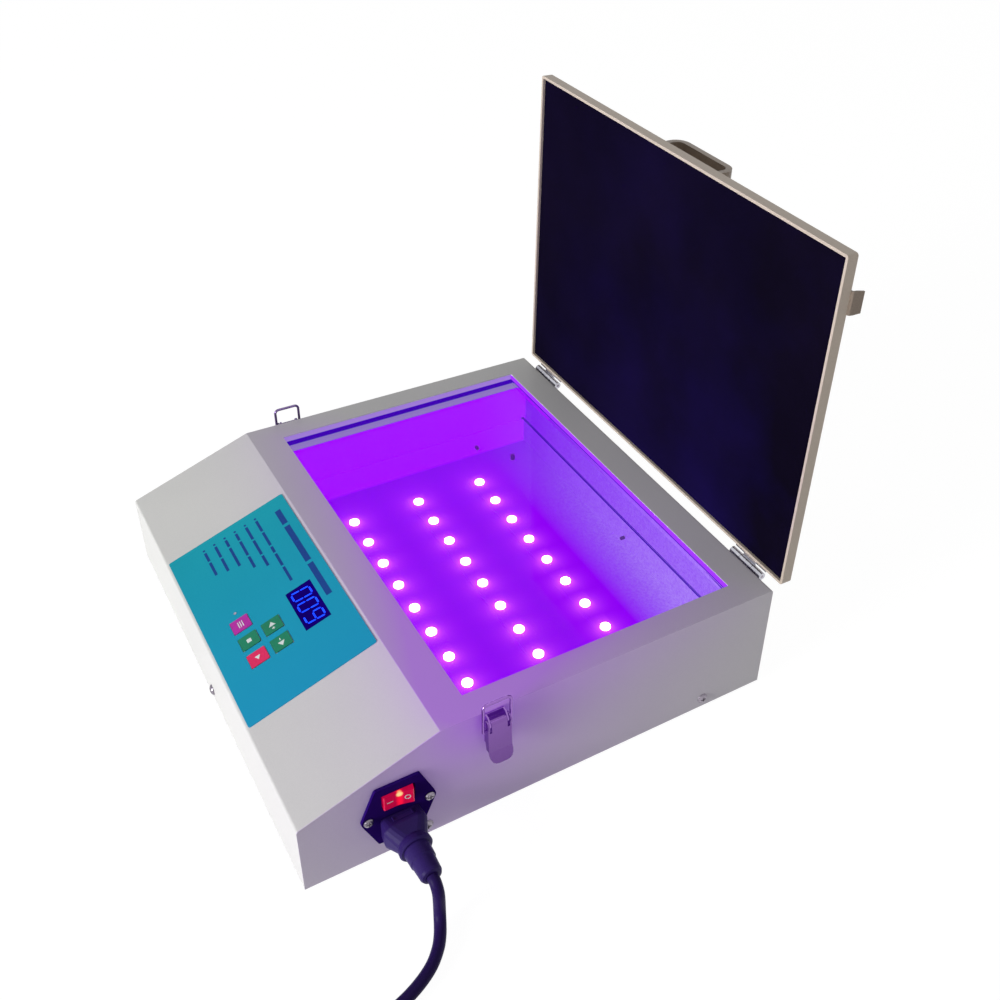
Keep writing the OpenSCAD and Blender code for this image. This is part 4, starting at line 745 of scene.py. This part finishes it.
raised_print("rocker_ring", ring_bars, print_white, "rocker", rear_half, -0.00003, 0.00018)


# Moulded connector and mains plug: soft black plastic with a fine matt skin.
# The violet tint on the black plastic is painted violet light from the chamber.
plug_moulding_violet_lit = finish_of("plug moulding painted violet", "200E4C", "2C1A5C",
                          rough=(0.35, 0.5), scale=1300, bump=0.00004, shine=0.12)
dress(plug_moulding_violet_lit, "cord_connector", "mains_plug")


# Hinges: two plated butt hinges, screwed to the case and riveted to the lid.
hinge_plate = finish_of("hinge plate", "9A9AA2", "D0D0D8",
                        rough=(0.2, 0.35), metal=1.0, scale=500, cloud=60)
dress(hinge_plate, "hinge_leaf_left", "hinge_leaf_right", "lid_leaf_left", "lid_leaf_right")


# Latches: nickel-plated toggle latches with a wire bail, one on each side.
# The nickel's violet colour is painted violet light from the chamber, on top of the spill that light_chamber adds.
latch_nickel_violet_lit = finish_of("latch nickel painted violet", "5A4A70", "74648A",
                         rough=(0.12, 0.24), metal=1.0, scale=500, cloud=25)
light_chamber(latch_nickel_violet_lit, spill=0.5)
# The levers are a darker copy of the same violet-painted nickel; the extra darkness is painted shade.
lever_nickel_shaded = finish_of("lever nickel painted shade", "33284A", "43355C",
                         rough=(0.15, 0.28), metal=1.0, scale=500, cloud=25)
light_chamber(lever_nickel_shaded, spill=0.4)
dress(lever_nickel_shaded, "latch_lever_left", "latch_lever_right")
dress(latch_nickel_violet_lit, "latch_base_left", "latch_base_right", "latch_pins",
      "latch_bail_left", "latch_bail_right")


# Lid: a folded steel pan in an off-white coat, with a taupe strap handle and
# two hooked catch plates riveted on.
lid_coat = finish_of("lid powder coat", "B6A89A", "C2B4A6",
                     rough=(0.38, 0.5), scale=1100, cloud=6, bump=0.00004)
dress(lid_coat, "lid_shell")
handle_coat = finish_of("handle coat", "9C8C7E", "B4A494",
                        rough=(0.3, 0.42), scale=800, bump=0.00003, shine=0.3)
dress(handle_coat, "lid_handle")
catch_coat = finish_of("catch coat", "6C6056", "84766A",
                       rough=(0.3, 0.42), scale=800, bump=0.00003, shine=0.3)
dress(catch_coat, "catch_left", "catch_right")


# Press pad: a thin foam pad under smooth dark cloth that fills the lid and
# presses the film on the glass. Its edge is rounded over.
def build_press_pad():
    low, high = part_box("lid_pad")
    low, high = Vector(low), Vector(high)
    lean = math.radians(91)
    axis = Vector((0, 0.349 - middle_y, 0.0895))
    back_turn = Matrix.Translation(axis) @ Matrix.Rotation(lean, 4, "X") @ Matrix.Translation(-axis)
    half_x, y0, y1 = 0.1727, 0.0978, 0.3427
    z0, z1 = 0.0922, 0.0974
    across, along = 72, 52
    bm = bmesh.new()
    rows = []
    for j in range(along + 1):
        row = []
        for i in range(across + 1):
            x = -half_x + 2 * half_x * i / across
            y = y0 + (y1 - y0) * j / along
            edge = min(half_x - abs(x), y - y0, y1 - y)
            fall = 0.0016 * (1 - min(edge / 0.006, 1)) ** 2
            ripple = 0.00008 * math.sin(x * 61 + 1.3) * math.cos(y * 47)
            row.append(bm.verts.new((x, y - middle_y, z0 + 0.00025 + fall + ripple)))
        rows.append(row)
    for a, b in zip(rows, rows[1:]):
        for i in range(across):
            bm.faces.new((a[i], a[i + 1], b[i + 1], b[i]))
    rim = rows[0] + [r[-1] for r in rows[1:]] + rows[-1][-2::-1] + [r[0] for r in rows[-2:0:-1]]
    top = [bm.verts.new((v.co.x, v.co.y, z1)) for v in rim]
    for k in range(len(rim)):
        bm.faces.new((rim[k], top[k], top[(k + 1) % len(rim)], rim[(k + 1) % len(rim)]))
    bm.faces.new(top)
    bm.transform(back_turn.inverted())
    return bm


pad_cloth = finish_of("pad cloth", "0A0714", "100B1E",
                      rough=(0.5, 0.65), scale=1600, cloud=10, bump=0.00003, shine=0.0)
cloth_tree = pad_cloth.node_tree
cloth_shader = cloth_tree.nodes["Principled BSDF"]
cloth_place = cloth_tree.nodes.new("ShaderNodeTexCoord")
# The blue-violet patches on the pad are a painted reflection of the chamber's glow, laid on as emission: noisy patches
# that fade with the pad's x and height.
glow_reflection_noise = cloth_tree.nodes.new("ShaderNodeTexNoise")
glow_reflection_noise.inputs["Scale"].default_value = 9
glow_reflection_noise.inputs["Detail"].default_value = 5
cloth_tree.links.new(cloth_place.outputs["Object"], glow_reflection_noise.inputs["Vector"])
cloth_split = cloth_tree.nodes.new("ShaderNodeSeparateXYZ")
cloth_tree.links.new(cloth_place.outputs["Object"], cloth_split.inputs[0])
glow_reflection_side = math_node(cloth_tree, "MULTIPLY_ADD", cloth_split.outputs["X"], 2.6, 0.5, clamp=True)
glow_reflection_low = math_node(cloth_tree, "MULTIPLY_ADD", cloth_split.outputs["Z"], -2.4, 1.0, clamp=True)
glow_reflection_patch = math_node(cloth_tree, "MULTIPLY_ADD", glow_reflection_noise.outputs["Fac"], 3.0, -1.1, clamp=True)
glow_reflection_fade = math_node(cloth_tree, "MULTIPLY_ADD", math_node(cloth_tree, "MULTIPLY", glow_reflection_side, glow_reflection_low), 0.9, 0.1)
painted_glow_reflection = math_node(cloth_tree, "MULTIPLY", glow_reflection_patch, glow_reflection_fade)
cloth_tree.links.new(mix_colours(cloth_tree, painted_glow_reflection, hue("030206"), hue("160858")),
                     cloth_shader.inputs["Emission Color"])
cloth_shader.inputs["Emission Strength"].default_value = 0.7
press_pad = piece_from(build_press_pad(), "press_pad", pad_cloth, "lid")
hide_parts("lid_pad")


# Stage: a pale table top and soft studio light from the front.
floor_mesh = bpy.data.meshes.new("table_top")
floor_bm = bmesh.new()
bmesh.ops.create_circle(floor_bm, cap_ends=True, segments=64, radius=6)
floor_bm.to_mesh(floor_mesh)
floor_bm.free()
table_top = bpy.data.objects.new("table_top", floor_mesh)
table_top.location.z = -0.0002
bpy.context.scene.collection.objects.link(table_top)
table_paint = bpy.data.materials.new("table paint")
table_paint.use_nodes = True
table_tree = table_paint.node_tree
table_shader = table_tree.nodes["Principled BSDF"]
table_shader.inputs["Base Color"].default_value = (0.9, 0.9, 0.9, 1)
table_shader.inputs["Roughness"].default_value = 0.9
table_bright = table_tree.nodes.new("ShaderNodeEmission")
table_bright.inputs["Strength"].default_value = 1.07
table_mix = table_tree.nodes.new("ShaderNodeMixShader")
table_rays = table_tree.nodes.new("ShaderNodeLightPath")
table_seen = math_node(table_tree, "MULTIPLY", math_node(table_tree, "ADD", math_node(
    table_tree, "ADD", table_rays.outputs["Is Camera Ray"], table_rays.outputs["Is Glossy Ray"]),
    table_rays.outputs["Is Transmission Ray"], clamp=True), 0.9)
table_tree.links.new(table_seen, table_mix.inputs[0])
table_tree.links.new(table_shader.outputs[0], table_mix.inputs[1])
table_tree.links.new(table_bright.outputs[0], table_mix.inputs[2])
table_tree.links.new(table_mix.outputs[0], table_tree.nodes["Material Output"].inputs["Surface"])
floor_mesh.materials.append(table_paint)

world = bpy.data.worlds.new("studio")
bpy.context.scene.world = world
world.use_nodes = True
sky = world.node_tree.nodes["Background"]
sky.inputs["Color"].default_value = (1, 1, 1, 1)
sky_rays = world.node_tree.nodes.new("ShaderNodeLightPath")
sky_seen = math_node(world.node_tree, "ADD", math_node(
    world.node_tree, "ADD", sky_rays.outputs["Is Camera Ray"], sky_rays.outputs["Is Glossy Ray"]),
    sky_rays.outputs["Is Transmission Ray"], clamp=True)
world.node_tree.links.new(math_node(world.node_tree, "MULTIPLY_ADD", sky_seen, 0.76, 0.24), sky.inputs["Strength"])


def soft_lamp(name, place, aim, size, power):
    lamp = bpy.data.lights.new(name, "AREA")
    lamp.shape = "DISK"
    lamp.size = size
    lamp.energy = power
    holder = bpy.data.objects.new(name, lamp)
    holder.location = place
    holder.rotation_euler = (Vector(aim) - Vector(place)).to_track_quat("-Z", "Y").to_euler()
    bpy.context.scene.collection.objects.link(holder)


soft_lamp("front_lamp", (0.46, -2.67, 0.75), (0, 0, 0.1), 1.1, 80)
soft_lamp("top_lamp", (0.3, 0.2, 2.5), (0, 0, 0.1), 1.2, 4)
bpy.context.scene.view_settings.view_transform = "Standard"
